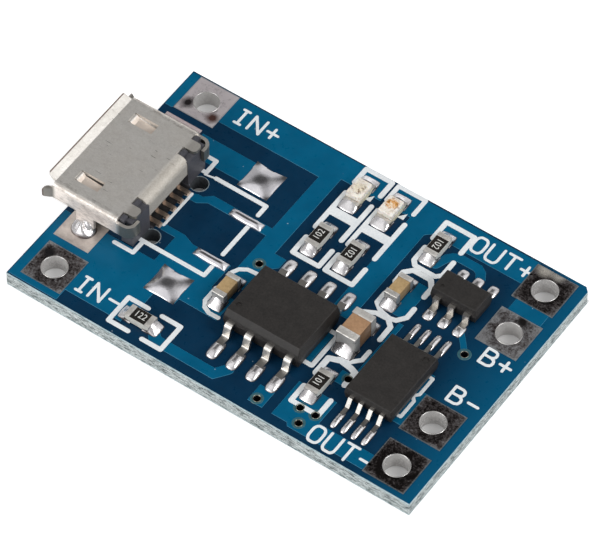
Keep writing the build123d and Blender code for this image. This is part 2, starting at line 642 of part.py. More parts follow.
def chips():
    nodes = {}
    kinds = {
        "charger_chip": (CHARGER_X, CHARGER_Y, chip(
            CHARGER_BODY, CHARGER_LEAD, CHARGER_PITCH, 4, CHARGER_SPAN, CHARGER_FOOT, CHARGER_LAND,
            rounded=True, bevel=CHARGER_BEVEL)),
        "switch_chip": (SWITCH_X, SWITCH_Y, chip(
            SWITCH_BODY, SWITCH_LEAD, SWITCH_PITCH, 4, SWITCH_SPAN, SWITCH_FOOT, SWITCH_LAND,
            dimple=(1, 1))),
        "protection_chip": (SWITCH_X, GUARD_Y, chip(
            GUARD_BODY, GUARD_LEAD, GUARD_PITCH, 3, GUARD_SPAN, GUARD_FOOT, GUARD_LAND)),
    }
    for name, (x, y, pieces) in kinds.items():
        for piece, shapes in pieces.items():
            nodes[f"{name}_{piece}"] = place(shapes, x, y)
    return nodes


def receptacle():
    names = ("ground", "id", "data_plus", "data_minus", "supply")
    contacts = [usb_contact(y) for y in contact_rows()]
    shell = usb_shell()
    nodes = {f"usb_contact_{name}": [contact] for name, contact in zip(names, contacts)}
    nodes["usb_shell"] = [shell]
    nodes["usb_housing"] = [usb_housing(contacts, shell)]
    nodes["usb_lands"] = usb_lands()
    nodes["usb_leg_solder"] = usb_leg_solder(shell)
    return nodes


def main():
    os.makedirs("parts", exist_ok=True)
    nodes = {name: [terminal(x, y)] for name, (x, y) in TERMINALS.items()}
    nodes |= {"circuit_board": [circuit_board()], "spare_land_solder": spare_solder()}
    nodes |= {**receptacle(), **chips(), **small_parts()}
    for name, shapes in nodes.items():
        save(name, *shapes)


main()
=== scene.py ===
import json
import math

import bmesh
import bpy
from mathutils import Matrix, Vector


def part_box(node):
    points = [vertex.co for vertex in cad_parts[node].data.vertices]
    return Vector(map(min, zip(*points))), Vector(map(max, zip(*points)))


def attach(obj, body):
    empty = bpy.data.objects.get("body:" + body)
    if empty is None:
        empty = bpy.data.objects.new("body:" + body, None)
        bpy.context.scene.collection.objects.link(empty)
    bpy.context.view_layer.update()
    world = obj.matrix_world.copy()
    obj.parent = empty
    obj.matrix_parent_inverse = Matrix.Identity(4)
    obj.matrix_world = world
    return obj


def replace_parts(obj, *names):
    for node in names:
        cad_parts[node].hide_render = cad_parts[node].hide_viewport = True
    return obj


# Looks of the charger board: solder mask, copper under it, printed legend, metals and mouldings.
# Shapes are drawn in millimetres and turned into metres at the end.
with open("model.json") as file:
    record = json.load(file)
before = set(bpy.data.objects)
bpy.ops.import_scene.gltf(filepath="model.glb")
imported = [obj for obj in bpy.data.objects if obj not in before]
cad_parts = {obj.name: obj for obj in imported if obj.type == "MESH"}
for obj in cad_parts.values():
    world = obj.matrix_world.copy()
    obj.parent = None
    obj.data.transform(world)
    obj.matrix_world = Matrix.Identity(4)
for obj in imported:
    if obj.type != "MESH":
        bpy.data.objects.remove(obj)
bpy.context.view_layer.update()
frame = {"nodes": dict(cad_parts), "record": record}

MM = 0.001
# Heights: board, tinned lands, foot and top of the films on the board
BOARD_TOP = 1.0
LAND_TOP = 1.03
FILM_FOOT = 0.99
COPPER_RISE = 0.016
PRINT_RISE = 0.03
FILM_EDGE = 0.012
# Cutters: foot, and tops for the films and the print
CUT_FOOT, FILM_CUT, PRINT_CUT = 0.9, 1.1, 1.2
CIRCLE_STEPS = 28
# Drilled holes
VIA_RADIUS = 0.2
VIAS = [(-2.34, -0.27), (2.7, -7.55), (4.88, -6.73), (5.82, -6.68), (5.39, -7.59), (5.89, -3.77), (9.95, 1.07)]
LOCATING_X = -8.13
LOCATING_YS = (-2.12, 2.28)
# Receptacle: its middle line, the edge of its lip, its top, and its springs and cover to each side of the middle
USB_Y = 0.08
LIP_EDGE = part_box("usb_shell")[0][0] / MM
SHELL_LEVEL = 3.22
TONGUE_AT = 2.42
COVER_HALF = 1.95


def box_of(node):
    """Corners of a node's box, in millimetres."""
    return [Vector(corner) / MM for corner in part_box(node)]


def middle(node):
    low, high = box_of(node)
    return (low + high) / 2


# Pieces
def settle(mesh, name):
    """Put a finished mesh in the scene as a piece that rides on the board."""
    piece = bpy.data.objects.new(name, mesh)
    bpy.context.scene.collection.objects.link(piece)
    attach(piece, "root")
    return piece


def smooth_out(mesh, angle):
    """Shade the mesh smooth, but for edges sharper than the angle in degrees."""
    for polygon in mesh.polygons:
        polygon.use_smooth = True
    mesh.set_sharp_from_angle(angle=math.radians(angle))


def adopt(builder, name, look, smooth=None):
    """Turn a bmesh in millimetres into a piece."""
    mesh = bpy.data.meshes.new(name)
    bmesh.ops.recalc_face_normals(builder, faces=builder.faces)
    builder.to_mesh(mesh)
    builder.free()
    mesh.transform(Matrix.Scale(MM, 4))
    mesh.materials.append(look.material)
    if smooth:
        smooth_out(mesh, smooth)
    return settle(mesh, name)


# Shapes
def plate(builder, outline, low, high, edge=0.0):
    """Flat solid with the outline, its upper rim bevelled by edge."""
    points = [Vector((x, y)) for x, y in outline]
    area = sum(a.x * b.y - b.x * a.y for a, b in zip(points, points[1:] + points[:1]))
    if area < 0:
        points.reverse()
    rings = [(0.0, low), (0.0, high - edge), (edge, high)] if edge else [(0.0, low), (0.0, high)]
    layers = []
    for inset, level in rings:
        layer = []
        for i, point in enumerate(points):
            before, after = points[i - 1], points[(i + 1) % len(points)]
            one, two = (point - before).normalized(), (after - point).normalized()
            normal = Vector((-one.y - two.y, one.x + two.x))
            length = normal.length
            normal = normal / length if length > 1e-6 else Vector((-one.y, one.x))
            reach = inset / max(0.4, normal.dot(Vector((-one.y, one.x))))
            layer.append(builder.verts.new((*(point + normal * reach), level)))
        layers.append(layer)
    for lower, upper in zip(layers, layers[1:]):
        for i in range(len(points)):
            j = (i + 1) % len(points)
            builder.faces.new((lower[i], lower[j], upper[j], upper[i]))
    builder.faces.new(layers[-1])
    builder.faces.new(list(reversed(layers[0])))


def stroke(points, width):
    """Outline of a line of one width with round ends and mitred corners."""
    points = [Vector(p) for p in points]
    half, caps = width / 2, 6
    left, right = [], []
    for i, point in enumerate(points):
        ahead = (points[i + 1] - point).normalized() if i + 1 < len(points) else None
        behind = (point - points[i - 1]).normalized() if i else None
        run = ((ahead or behind) + (behind or ahead)).normalized()
        side = Vector((-run.y, run.x))
        reach = half / max(0.5, run.dot(ahead or behind))
        left.append(point + side * reach)
        right.append(point - side * reach)

    def cap(centre, run):
        start = math.atan2(run.y, run.x) + math.pi / 2
        turns = [start - math.pi * k / caps for k in range(1, caps)]
        return [centre + half * Vector((math.cos(turn), math.sin(turn))) for turn in turns]
    end = cap(points[-1], (points[-1] - points[-2]).normalized())
    begin = cap(points[0], (points[0] - points[1]).normalized())
    return [tuple(p) for p in left + end + right[::-1] + begin]


def arc(x, y, radius, start, end, steps):
    """Points along an arc, angles in degrees."""
    turns = [math.radians(start + (end - start) * k / steps) for k in range(steps + 1)]
    return [(x + radius * math.cos(turn), y + radius * math.sin(turn)) for turn in turns]


def circle(x, y, radius):
    return arc(x, y, radius, 0, 360 - 360 / CIRCLE_STEPS, CIRCLE_STEPS - 1)


def rectangle(x0, y0, x1, y1):
    return [(x0, y0), (x1, y0), (x1, y1), (x0, y1)]


def ring(builder, x, y, inner, outer, low, high, steps=32):
    """Flat washer with a softened upper rim."""
    soft = (high - low) * 0.6
    profile = [(outer, low), (outer, high - soft), (outer - soft, high), (inner + soft, high),
               (inner, high - soft), (inner, low)]
    turns = []
    for k in range(steps):
        a = 2 * math.pi * k / steps
        turns.append([builder.verts.new((x + r * math.cos(a), y + r * math.sin(a), z)) for r, z in profile])
    for k in range(steps):
        one, two = turns[k], turns[(k + 1) % steps]
        for i in range(len(profile)):
            j = (i + 1) % len(profile)
            builder.faces.new((one[i], two[i], two[j], one[j]))


def punch(piece, cutters, crossing=False):
    """Cut closed shapes, drawn in millimetres, out of the piece, whose own parts may cross."""
    for vert in cutters.verts:
        vert.co *= MM
    mesh = bpy.data.meshes.new("cutters")
    cutters.to_mesh(mesh)
    cutters.free()
    tool = bpy.data.objects.new("cutters", mesh)
    bpy.context.scene.collection.objects.link(tool)
    change = piece.modifiers.new("holes", "BOOLEAN")
    change.operation = "DIFFERENCE"
    change.solver = "EXACT"
    change.use_self = crossing
    change.object = tool
    shape = bpy.data.meshes.new_from_object(piece.evaluated_get(bpy.context.evaluated_depsgraph_get()))
    piece.modifiers.clear()
    old, piece.data = piece.data, shape
    bpy.data.meshes.remove(old)
    bpy.data.objects.remove(tool)
    bpy.data.meshes.remove(mesh)


# Materials
def paint(colour):
    """Linear colour from three display values of 0 to 255; one number is a linear grey, the rest stays as it is."""
    if isinstance(colour, (int, float)):
        return (colour, colour, colour, 1)
    if hasattr(colour, "links") or len(colour) == 4:
        return colour
    values = [value / 255 for value in colour]
    return (*(v / 12.92 if v <= 0.04045 else ((v + 0.055) / 1.055) ** 2.4 for v in values), 1)


class Nodes:
    """Shader nodes of a material or of the surroundings."""

    def __init__(self, owner):
        owner.use_nodes = True
        self.tree = owner.node_tree

    def link(self, source, target):
        """Feed the target from a socket, or give it a value."""
        if hasattr(source, "links"):
            self.tree.links.new(source, target)
        else:
            target.default_value = source

    def feed(self, node, inputs):
        """Feed inputs of a node by name, with an underscore for a space."""
        for key, source in inputs.items():
            self.link(source, node.inputs[key.replace("_", " ")])
        return node

    def node(self, kind, **inputs):
        return self.feed(self.tree.nodes.new(kind), inputs)

    def mix(self, factor, one, two):
        node = self.node("ShaderNodeMix")
        node.data_type = "RGBA"
        self.link(factor, node.inputs[0])
        self.link(paint(one), node.inputs[6])
        self.link(paint(two), node.inputs[7])
        return node.outputs[2]

    def vector(self, kind, one, two, output):
        node = self.node("ShaderNodeVectorMath")
        node.operation = kind
        self.link(one, node.inputs[0])
        self.link(two, node.inputs[1])
        return node.outputs[output]

    def span(self, value, low, high, course="LINEAR"):
        """Value as 0 at low and 1 at high, held inside."""
        node = self.node("ShaderNodeMapRange", Value=value, From_Min=low, From_Max=high)
        node.interpolation_type = course
        return node.outputs["Result"]


class Look(Nodes):
    """Node-based material, with coordinates in millimetres."""

    def __init__(self, name, **sockets):
        self.material = bpy.data.materials.new(name)
        super().__init__(self.material)
        self.shader = self.feed(self.tree.nodes["Principled BSDF"], sockets)
        self.place = self.scaled(self.node("ShaderNodeTexCoord").outputs["Object"], (1000, 1000, 1000))

    def set(self, socket, source):
        self.link(source, self.shader.inputs[socket])

    def source(self, socket):
        """What feeds a socket of the shader now."""
        return self.shader.inputs[socket].links[0].from_socket

    def scaled(self, place, scale, turn=0.0):
        return self.node("ShaderNodeMapping", Vector=place, Scale=scale, Rotation=(0, 0, turn)).outputs["Vector"]

    def noise(self, scale, detail, rough=0.55, place=None, distortion=0.0):
        return self.node("ShaderNodeTexNoise", Vector=place or self.place, Scale=scale, Detail=detail,
                         Roughness=rough, Distortion=distortion).outputs["Fac"]

    def cells(self, scale):
        return self.node("ShaderNodeTexVoronoi", Vector=self.place, Scale=scale).outputs["Distance"]

    def ramp(self, value, *stops):
        """Colours at their places along the value."""
        node = self.node("ShaderNodeValToRGB", Fac=value)
        elements = node.color_ramp.elements
        while len(elements) < len(stops):
            elements.new(0.5)
        for element, (position, colour) in zip(elements, stops):
            element.position = position
            element.color = paint(colour)
        return node.outputs["Color"]

    def sum(self, kind, one, two=0.0):
        node = self.node("ShaderNodeMath")
        node.operation = kind
        self.link(one, node.inputs[0])
        self.link(two, node.inputs[1])
        return node.outputs[0]

    def plus(self, one, two):
        return self.sum("ADD", one, two)

    def minus(self, one, two):
        return self.sum("SUBTRACT", one, two)

    def times(self, one, two):
        return self.sum("MULTIPLY", one, two)

    def most(self, one, two):
        return self.sum("MAXIMUM", one, two)

    def under(self, value, limit):
        return self.sum("LESS_THAN", value, limit)

    def over(self, value, limit):
        return self.sum("GREATER_THAN", value, limit)

    def size(self, value):
        return self.sum("ABSOLUTE", value)

    def axis(self, which, source=None):
        node = self.node("ShaderNodeSeparateXYZ", Vector=source or self.place)
        return node.outputs["XYZ".index(which)]

    def up(self):
        """How far a face looks up, from -1 to 1."""
        return self.axis("Z", self.node("ShaderNodeNewGeometry").outputs["Normal"])

    def stain_and_painted_light(self, tint, mask, share, colour):
        """The tint, with a share of the colour over it where the mask is; it lays stains, and also painted light and
        shade.
        """
        return self.mix(self.times(mask, share), tint, colour)

    def slopes(self, tint, colour):
        """The tint, with painted shade on the steep faces in the other colour."""
        return self.stain_and_painted_light(tint, self.span(self.up(), 0.66, 0.36), 0.85, colour)

    def bump(self, height, depth):
        """Relief of the given depth in millimetres."""
        self.set("Normal", self.node("ShaderNodeBump", Distance=depth * MM, Height=height).outputs["Normal"])


def mask_look(name, tint, deep, edge=None):
    """Glossy blue solder mask, a little uneven in thickness, with dust and rubbed spots."""
    look = Look(name, Specular_IOR_Level=0.14)
    cloud = look.ramp(look.noise(0.55, 3), (0.3, 0.0), (0.7, 1.0))
    colour = look.mix(cloud, tint, deep)
    dust = look.under(look.cells(1.3), 0.05)
    dust = look.times(dust, look.ramp(look.noise(0.9, 2), (0.5, 0.0), (0.56, 0.5)))
    colour = look.mix(dust, colour, (186, 204, 214))
    if edge:
        colour = look.mix(look.span(look.up(), 0.995, 0.9), colour, edge)
    look.set("Base Color", colour)
    look.set("Roughness", look.span(look.noise(3.5, 5), -0.5, 2.6))
    look.bump(look.noise(2.5, 3, 0.5), 0.004)
    return look


def board_look():
    """Bare mask on both faces, paler towards the east edge with painted light, pale fibre layers on the cut edges,
    painted shade on the walls in the drilled holes.
    """
    look = mask_look("board_mask", (9, 50, 78), (6, 42, 68))
    east, level = look.axis("X"), look.axis("Z")
    # Painted light: the mask turns paler blue towards the east edge.
    base = look.stain_and_painted_light(look.source("Base Color"), look.span(east, 9.3, 13.2), 0.85, (4, 86, 122))
    cloud = look.ramp(look.noise(0.5, 2), (0.47, 0.0), (0.5, 1.0))
    base = look.mix(look.under(level, 0.5), base, look.mix(cloud, (8, 76, 110), (6, 36, 64)))
    layers = look.noise(1.0, 8, 0.78, look.scaled(look.place, (1.7, 1.7, 8.0)))
    fibres = look.ramp(layers, (0.36, (60, 68, 68)), (0.44, (132, 144, 144)),
                       (0.5, (224, 230, 230)), (0.55, (140, 153, 154)), (0.62, (236, 240, 240)))
    spots = look.ramp(look.noise(3.0, 6, 0.75, look.scaled(look.place, (0.7, 0.7, 3.4))), (0.51, 0.0), (0.57, 1.0))
    fibres = look.stain_and_painted_light(fibres, spots, 0.8, (72, 80, 82))
    rim = look.plus(look.span(level, 0.82, 0.92), look.span(level, 0.07, 0.02))
    fibres = look.stain_and_painted_light(fibres, rim, 0.6, (178, 208, 216))
    outer = look.most(look.over(look.size(east), 12.7), look.over(look.size(look.axis("Y")), 8.3))
    # Painted shade: grey on the walls of the locating holes, near black on the walls of the other drilled holes.
    locating = look.mix(look.noise(6, 4), (92, 96, 100), (62, 66, 70))
    walls = look.mix(look.under(east, -5.0), (14, 16, 20), locating)
    side = look.under(look.size(look.up()), 0.5)
    look.set("Base Color", look.mix(side, base, look.mix(outer, walls, fibres)))
    look.set("Roughness", look.most(look.source("Roughness"), look.times(side, 0.75)))
    return look


def metal_look(name, colour, dark, rough, grain=14.0, scratches=0.0, relief=0.004, spread=0.2, slopes=None,
               metallic=1.0):
    """Plated or soldered metal with fine grain, smudges and, where asked, scratches and painted shade on the steep
    faces.
    """
    look = Look(name, Metallic=metallic)
    smudge = look.ramp(look.noise(1.1, 5, 0.6), (0.32, 0.0), (0.72, 1.0))
    grains = look.noise(grain, 4, 0.6)
    value = look.plus(look.times(smudge, 0.55), look.times(grains, 0.45))
    tint = look.mix(value, colour, dark)
    if scratches:
        hair = look.noise(1.6, 3, 0.5, look.scaled(look.place, (0.7, 9.0, 3.0), 0.9))
        hair = look.ramp(hair, (0.685, 0.0), (0.71, 1.0))
        where = look.ramp(look.noise(0.7, 2), (0.53, 0.0), (0.58, 1.0))
        tint = look.stain_and_painted_light(tint, look.times(hair, where), scratches, (70, 64, 60))
    if slopes:
        tint = look.slopes(tint, slopes)
    look.set("Base Color", tint)
    look.set("Roughness", look.plus(look.times(value, spread), rough))
    look.bump(grains, relief)
    return look


def pad_look(name, node, tones, bias, spots):
    """Tinned pad with burnt flux round its hole, paler corners, a bright rim and a clean barrel."""
    centre = middle(node)
    pale, grey, dark = tones
    look = Look(name)
    local = look.vector("SUBTRACT", look.place, (centre.x, centre.y, 0), "Vector")
    across, along = look.size(look.axis("X", local)), look.size(look.axis("Y", local))
    square = look.most(across, along)
    corner = look.plus(look.times(across, across), look.times(along, along))
    blotch = look.noise(1.9, 7, 0.7, distortion=0.6)
    fine = look.noise(9, 5, 0.75)
    stains = look.plus(look.times(look.minus(blotch, 0.5), 1.7), look.times(look.minus(fine, 0.5), 1.5))
    amount = look.plus(look.times(look.span(corner, 0.6, 2.9), 0.34), stains)
    amount = look.plus(amount, 0.22 + bias)
    between = tuple((a + b) / 2 for a, b in zip(paint(grey), paint(pale)))
    colour = look.ramp(amount, (0.1, dark), (0.4, grey), (0.62, between), (0.85, pale))
    # Spots: the dark ones are flux; the pale ones are a painted highlight.
    for x, y, radius, tint in spots:
        away = look.vector("DISTANCE", look.place, (x, y, LAND_TOP), "Value")
        near = look.plus(look.sum("DIVIDE", away, radius), look.minus(blotch, 0.5))
        colour = look.mix(look.span(near, 1.5, 0.5), colour, tint)
    colour = look.stain_and_painted_light(colour, look.span(square, 1.22, 1.26), 0.5, (158, 166, 170))
    inside = look.under(look.size(look.up()), 0.5)
    wall = look.times(inside, look.under(look.sum("SQRT", corner), 0.9))
    clean = look.most(wall, look.under(look.axis("Z"), 0.5))
    bright = look.mix(look.noise(7, 3), (214, 212, 210), (176, 174, 173))
    look.set("Base Color", look.mix(clean, colour, bright))
    look.set("Metallic", look.minus(0.75, look.times(wall, 0.6)))
    look.set("Roughness", look.plus(look.times(amount, 0.2), 0.24))
    look.bump(amount, 0.012)
    return look


def ceramic_look(name, colour, shade, rough=0.45, grain=16.0, relief=0.006, slopes=None, **sockets):
    """Fine-grained ceramic, moulding compound or resin, with painted shade on the steep faces where asked."""
    look = Look(name, **sockets)
    grains = look.noise(grain, 5, 0.65)
    value = look.plus(look.times(grains, 0.65), look.times(look.noise(1.6, 3), 0.35))
    tint = look.mix(look.ramp(value, (0.3, 0.0), (0.7, 1.0)), shade, colour)
    look.set("Base Color", look.slopes(tint, slopes) if slopes else tint)
    look.set("Roughness", look.plus(look.times(grains, 0.25), rough - 0.12))
    look.bump(grains, relief)
    return look


def lens_look(name, centre, place):
    """Cast resin, milky at its edges, with the die and its wires showing through."""
    look = Look(name, Roughness=0.12, Subsurface_Weight=0.25, Subsurface_Radius=(0.0004, 0.0003, 0.0002),
                Coat_Weight=0.6, Coat_Roughness=0.05)
    veins = look.noise(2.6, 5, 0.7, distortion=1.2)
    away = look.vector("DISTANCE", look.place, place, "Value")
    near = look.plus(look.sum("DIVIDE", away, 0.42), look.times(look.minus(veins, 0.5), 1.4))
    milk = look.ramp(look.noise(4.5, 5, 0.7, distortion=0.8), (0.32, (204, 190, 174)),
                     (0.46, (236, 226, 214)), (0.6, (252, 248, 240)), (0.72, (222, 208, 188)))
    inner = look.ramp(veins, (0.36, (104, 74, 42)), (0.5, centre), (0.62, (248, 238, 216)))
    look.set("Base Color", look.mix(look.span(near, 1.0, 0.62), milk, inner))
    look.bump(look.noise(5, 3), 0.012)
    return look


def shell_look():
    """Dull plated steel with worn spots: cover plainer and dimmed with painted shade, straps and ears darkened with
    painted shade, cut lip edges dark, painted light on the side walls and painted shade where the top bends down
    into them.
    """
    look = metal_look("shell_steel_look", (254, 251, 246), (212, 207, 200), 0.34, 7.0, 0.8, 0.014, 0.14)
    east, up = look.axis("X"), look.up()
    across = look.size(look.minus(look.axis("Y"), USB_Y))
    upright = look.span(look.size(up), 0.5, 0.25)
    pits = look.ramp(look.noise(11, 6, 0.8), (0.42, 0.0), (0.58, 1.0))
    tint = look.stain_and_painted_light(look.source("Base Color"), pits, 0.2, (180, 174, 164))
    # Painted shade: the straps darker, their upright faces darker still.
    straps = look.times(look.span(east, -9.25, -9.0), look.span(across, COVER_HALF, COVER_HALF + 0.1))
    tint = look.stain_and_painted_light(tint, straps, 0.5, (160, 155, 147))
    tint = look.stain_and_painted_light(tint, look.times(straps, upright), 0.75, (104, 106, 98))
    # Painted shade: the ears at the mouth darker.
    ears = look.times(look.span(east, LIP_EDGE + 0.75, LIP_EDGE + 0.6), look.over(across, 3.7))
    tint = look.stain_and_painted_light(tint, ears, 0.7, (112, 106, 98))
    sunk = look.times(look.under(east, -10.9), look.span(look.axis("Z"), SHELL_LEVEL - 0.03, SHELL_LEVEL - 0.1))
    tongues = look.times(look.under(look.size(look.minus(across, TONGUE_AT)), 0.34), sunk)
    tint = look.stain_and_painted_light(tint, tongues, 0.8, (232, 216, 202))
    # Painted shade dims the rear cover and its bend; the cover is also made rougher and less metallic.
    cover = look.times(look.span(east, -9.35, -9.1), look.span(across, COVER_HALF + 0.1, COVER_HALF))
    grain = look.times(pits, 0.25)
    tint = look.stain_and_painted_light(tint, cover, look.plus(grain, 0.5), (178, 171, 159))
    tint = look.mix(look.span(east, LIP_EDGE + 0.13, LIP_EDGE + 0.1), tint, (112, 98, 90))
    flank = look.times(look.over(across, 3.3), look.span(east, -9.2, -9.4))
    flank = look.times(flank, look.span(east, LIP_EDGE + 0.6, LIP_EDGE + 0.8))
    # Painted shade where the top bends down into the side walls.
    bend_painted_shade = look.times(flank, look.times(look.span(up, 0.2, 0.4), look.span(up, 0.995, 0.9)))
    tint = look.stain_and_painted_light(tint, bend_painted_shade, look.plus(grain, 0.3), (160, 146, 136))
    # Painted light: the upright side walls paler and brighter.
    wall = look.times(flank, upright)
    tint = look.stain_and_painted_light(tint, wall, 0.7, (255, 244, 236))
    worn = look.ramp(look.noise(3.4, 7, 0.75, look.scaled(look.place, (0.6, 1.0, 1.6))), (0.46, 0.0), (0.62, 1.0))
    tint = look.stain_and_painted_light(tint, worn, look.plus(look.times(flank, 0.45), 0.12), (146, 136, 128))
    look.set("Base Color", tint)
    plain = look.most(look.most(cover, tongues), wall)
    look.set("Metallic", look.minus(0.8, look.times(plain, 0.3)))
    look.set("Roughness", look.plus(look.source("Roughness"), look.times(cover, 0.22)))
    return look


def moulding_look():
    """Black plastic, with painted shade, near black, between the contacts."""
    look = ceramic_look("black_moulding_look", (88, 88, 94), (60, 60, 66), 0.42, 6.0)
    # Painted shade: near black along the contact row.
    row = look.span(look.size(look.minus(look.axis("Y"), USB_Y)), 1.75, 1.6)
    row = look.times(row, look.span(look.axis("X"), -9.5, -9.4))
    look.set("Base Color", look.stain_and_painted_light(look.source("Base Color"), row, 0.9, (8, 8, 9)))
    return look


# The slopes colours of the solder, end metal, tan ceramic and orange ceramic looks are painted shade on their steep
# faces.
LOOKS = {
    "laminate": board_look(),
    "shell_steel": shell_look(),
    "black_moulding": moulding_look(),
    "contact_metal": metal_look("contact_look", (206, 190, 176), (124, 106, 94), 0.3, 6.0),
    "tinned_land": metal_look("tinned_land_look", (244, 236, 230), (158, 146, 140), 0.28, 4.0, 0.6, 0.012,
                              metallic=0.8),
    "bright_solder": metal_look("bright_solder_look", (236, 234, 234), (190, 186, 188), 0.06, 3.0,
                                relief=0.04, spread=0.14, slopes=(74, 62, 58)),
    "spare_solder": metal_look("spare_solder_look", (246, 244, 246), (186, 184, 192), 0.11, 1.5,
                               relief=0.015, spread=0.08, metallic=0.94),
    "solder": metal_look("solder_look", (246, 244, 244), (190, 186, 190), 0.09, 3.0, relief=0.026,
                         spread=0.12, slopes=(92, 78, 72), metallic=0.86),
    "chip_moulding": ceramic_look("chip_moulding_look", (50, 47, 45), (26, 24, 23), 0.46, 9.0, 0.014,
                                  Specular_IOR_Level=0.4),
    "chip_lead": metal_look("chip_lead_look", (226, 222, 216), (170, 166, 160), 0.24, 5.0),
    "white_ceramic": ceramic_look("white_ceramic_look", (224, 224, 218), (192, 192, 186)),
    "resistor_glaze": ceramic_look("resistor_glaze_look", (46, 43, 40), (26, 24, 23), 0.25,
                                   Specular_IOR_Level=0.4),
    "end_metal": metal_look("end_metal_look", (254, 250, 244), (158, 155, 151), 0.24, 4.0, relief=0.045,
                            spread=0.16, slopes=(170, 168, 166), metallic=0.6),
    "tan_ceramic": ceramic_look("tan_ceramic_look", (194, 166, 122), (158, 130, 90), 0.35, 7.0,
                                slopes=(144, 121, 87)),
    "orange_ceramic": ceramic_look("orange_ceramic_look", (184, 146, 112), (148, 114, 84), 0.35, 7.0,
                                   slopes=(112, 88, 66)),
    "led_base": ceramic_look("led_base_look", (226, 222, 200), (196, 190, 164)),
}
# Pads: pale, grey and dark tones, how pale they are, and spots with their places and radii
GREYS = ((160, 160, 162), (86, 80, 80), (26, 21, 20))
MAUVE = ((214, 206, 208), (152, 143, 147), (66, 54, 56))
TERMINALS = {
    "in_plus": (MAUVE, 0.6, [(-11.95, 6.5, 0.34, (36, 30, 32)), (-10.2, 6.35, 0.3, (92, 62, 56))]),
    "in_minus": (GREYS, 0.08, [(-11.9, -6.1, 0.3, (40, 38, 40))]),
    # The pale spots along the north edge of the output pad are a painted highlight.
    "out_plus": (GREYS, -0.06, [(10.4, 8.2, 0.42, (214, 208, 198)), (11.2, 8.25, 0.34, (206, 202, 194))]),
    "out_minus": (GREYS, -0.2, []),
    "battery_plus": (GREYS, 0.28, [(11.3, 4.6, 0.3, (30, 26, 26))]),
    "battery_minus": (GREYS, -0.02, []),
}
for name, (tones, bias, spots) in TERMINALS.items():
    LOOKS[f"{name}_pad"] = pad_look(f"{name}_stain", f"{name}_terminal", tones, bias, spots)
# Lenses: colour of the die, and how far north of the middle it sits
for name, tint, shift in (("charge_led", (226, 214, 194), 0.0), ("standby_led", (228, 164, 88), 0.12)):
    x, y, z = middle(f"{name}_lens")
    LOOKS[f"{name}_lens"] = lens_look(f"{name}_lens_look", tint, (x, y + shift, z + 0.19))
SLOT_OF = {part["node"]: part["material_slot"] for part in frame["record"]["subparts"]}
for node, slot in SLOT_OF.items():
    thing = frame["nodes"][node]
    thing.data.materials.clear()
    thing.data.materials.append(LOOKS[slot].material)

# Copper under the mask, as areas in millimetres
COPPER = mask_look("copper_mask", (4, 94, 130), (2, 84, 118), (60, 130, 160))
AREAS = {
    "supply": [
        [(-12.95, 8.42), (-12.95, 5.75), (-12.45, 5.75), (-12.45, 6.38), (-3.15, 6.38), (-3.15, 2.07), (-7.0, 2.07),
         (-7.45, 1.68), (-8.2, 1.68), (-8.2, 1.12), (-7.5, 1.12), (-6.98, 1.47), (-3.15, 1.47), (-3.15, -2.2),
         (-2.05, -2.2), (-2.05, -0.35), (-1.75, -0.35), (-1.3, 0.1), (-1.3, 0.77), (-2.05, 0.77), (-2.05, 6.95),
         (0.5, 6.95), (0.5, 8.42)],
        [(-10.0, 5.22), (-6.3, 5.22), (-6.3, 3.68), (-10.0, 3.68)]],
    "ground": [
        [(-8.45, -0.98), (-6.7, -0.98), (-6.0, -1.25), (-3.5, -1.25), (-3.5, -3.0), (-2.0, -3.0), (-2.0, -4.65),
         (-4.45, -4.65), (-4.45, -5.02), (-5.77, -5.02), (-5.77, -6.45), (-6.1, -6.45), (-6.1, -7.62),
         (-9.75, -7.62), (-9.75, -8.42), (-12.95, -8.42), (-12.95, -3.3), (-7.05, -3.3), (-7.05, -1.42),
         (-8.45, -1.42)]],
    "battery": [
        [(0.7, 8.4), (0.7, 6.95), (2.45, 6.95), (2.45, -0.6), (3.75, -0.6), (3.75, 6.4), (4.05, 6.68), (9.9, 6.68),
         (9.9, 8.4)],
        [(10.14, 5.9), (10.14, 4.7), (12.2, 4.7), (12.2, 5.9)]],
    "links": [
        stroke([(5.35, 5.1), (5.62, 5.8), (5.85, 6.05), (6.15, 6.2), (7.35, 6.2), (7.65, 6.02), (7.87, 5.65)], 0.55),
        stroke([(-4.3, -7.1), (-3.95, -7.5), (-3.5, -7.55), (-0.1, -7.55), (0.38, -6.9)], 0.66),
        [(2.32, -6.7), (2.32, -7.9), (3.25, -7.9), (3.25, -6.7)],
        [(5.25, 3.6), (5.25, 1.1), (6.05, 1.1), (6.05, 3.6)],
        stroke([(8.87, 2.3), (9.25, 1.9), (9.6, 1.5), (9.95, 1.07)], 0.34),
        [(3.86, -5.35), (6.27, -5.35), (6.27, -7.0), (9.9, -7.0), (9.9, -8.1), (5.0, -8.1), (4.85, -7.9),
         (3.86, -7.9)],
        [(5.3, -3.45), (5.3, -4.3), (6.2, -4.3), (6.2, -3.65), (6.27, -3.4), (6.27, 0.8), (5.97, 0.8),
         (5.97, -3.45)],
        [(3.15, -1.7), (3.15, -4.15), (3.62, -4.15), (3.62, -1.7)],
        [(8.95, -1.0), (8.95, -4.65), (10.0, -4.65), (10.0, -2.2), (9.5, -2.2), (9.5, -1.0)]],
}


def keep_clear():
    """Round cutters for every drilled hole, square ones for the terminals."""
    cutters = bmesh.new()
    for x, y in VIAS:
        plate(cutters, circle(x, y, VIA_RADIUS + 0.12), CUT_FOOT, FILM_CUT)
    for y in LOCATING_YS:
        plate(cutters, circle(LOCATING_X, y, 0.72), CUT_FOOT, FILM_CUT)
    for name in TERMINALS:
        (x0, y0, _), (x1, y1, _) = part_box(f"{name}_terminal")
        plate(cutters, rectangle(x0 / MM, y0 / MM, x1 / MM, y1 / MM), CUT_FOOT, FILM_CUT)
    return cutters


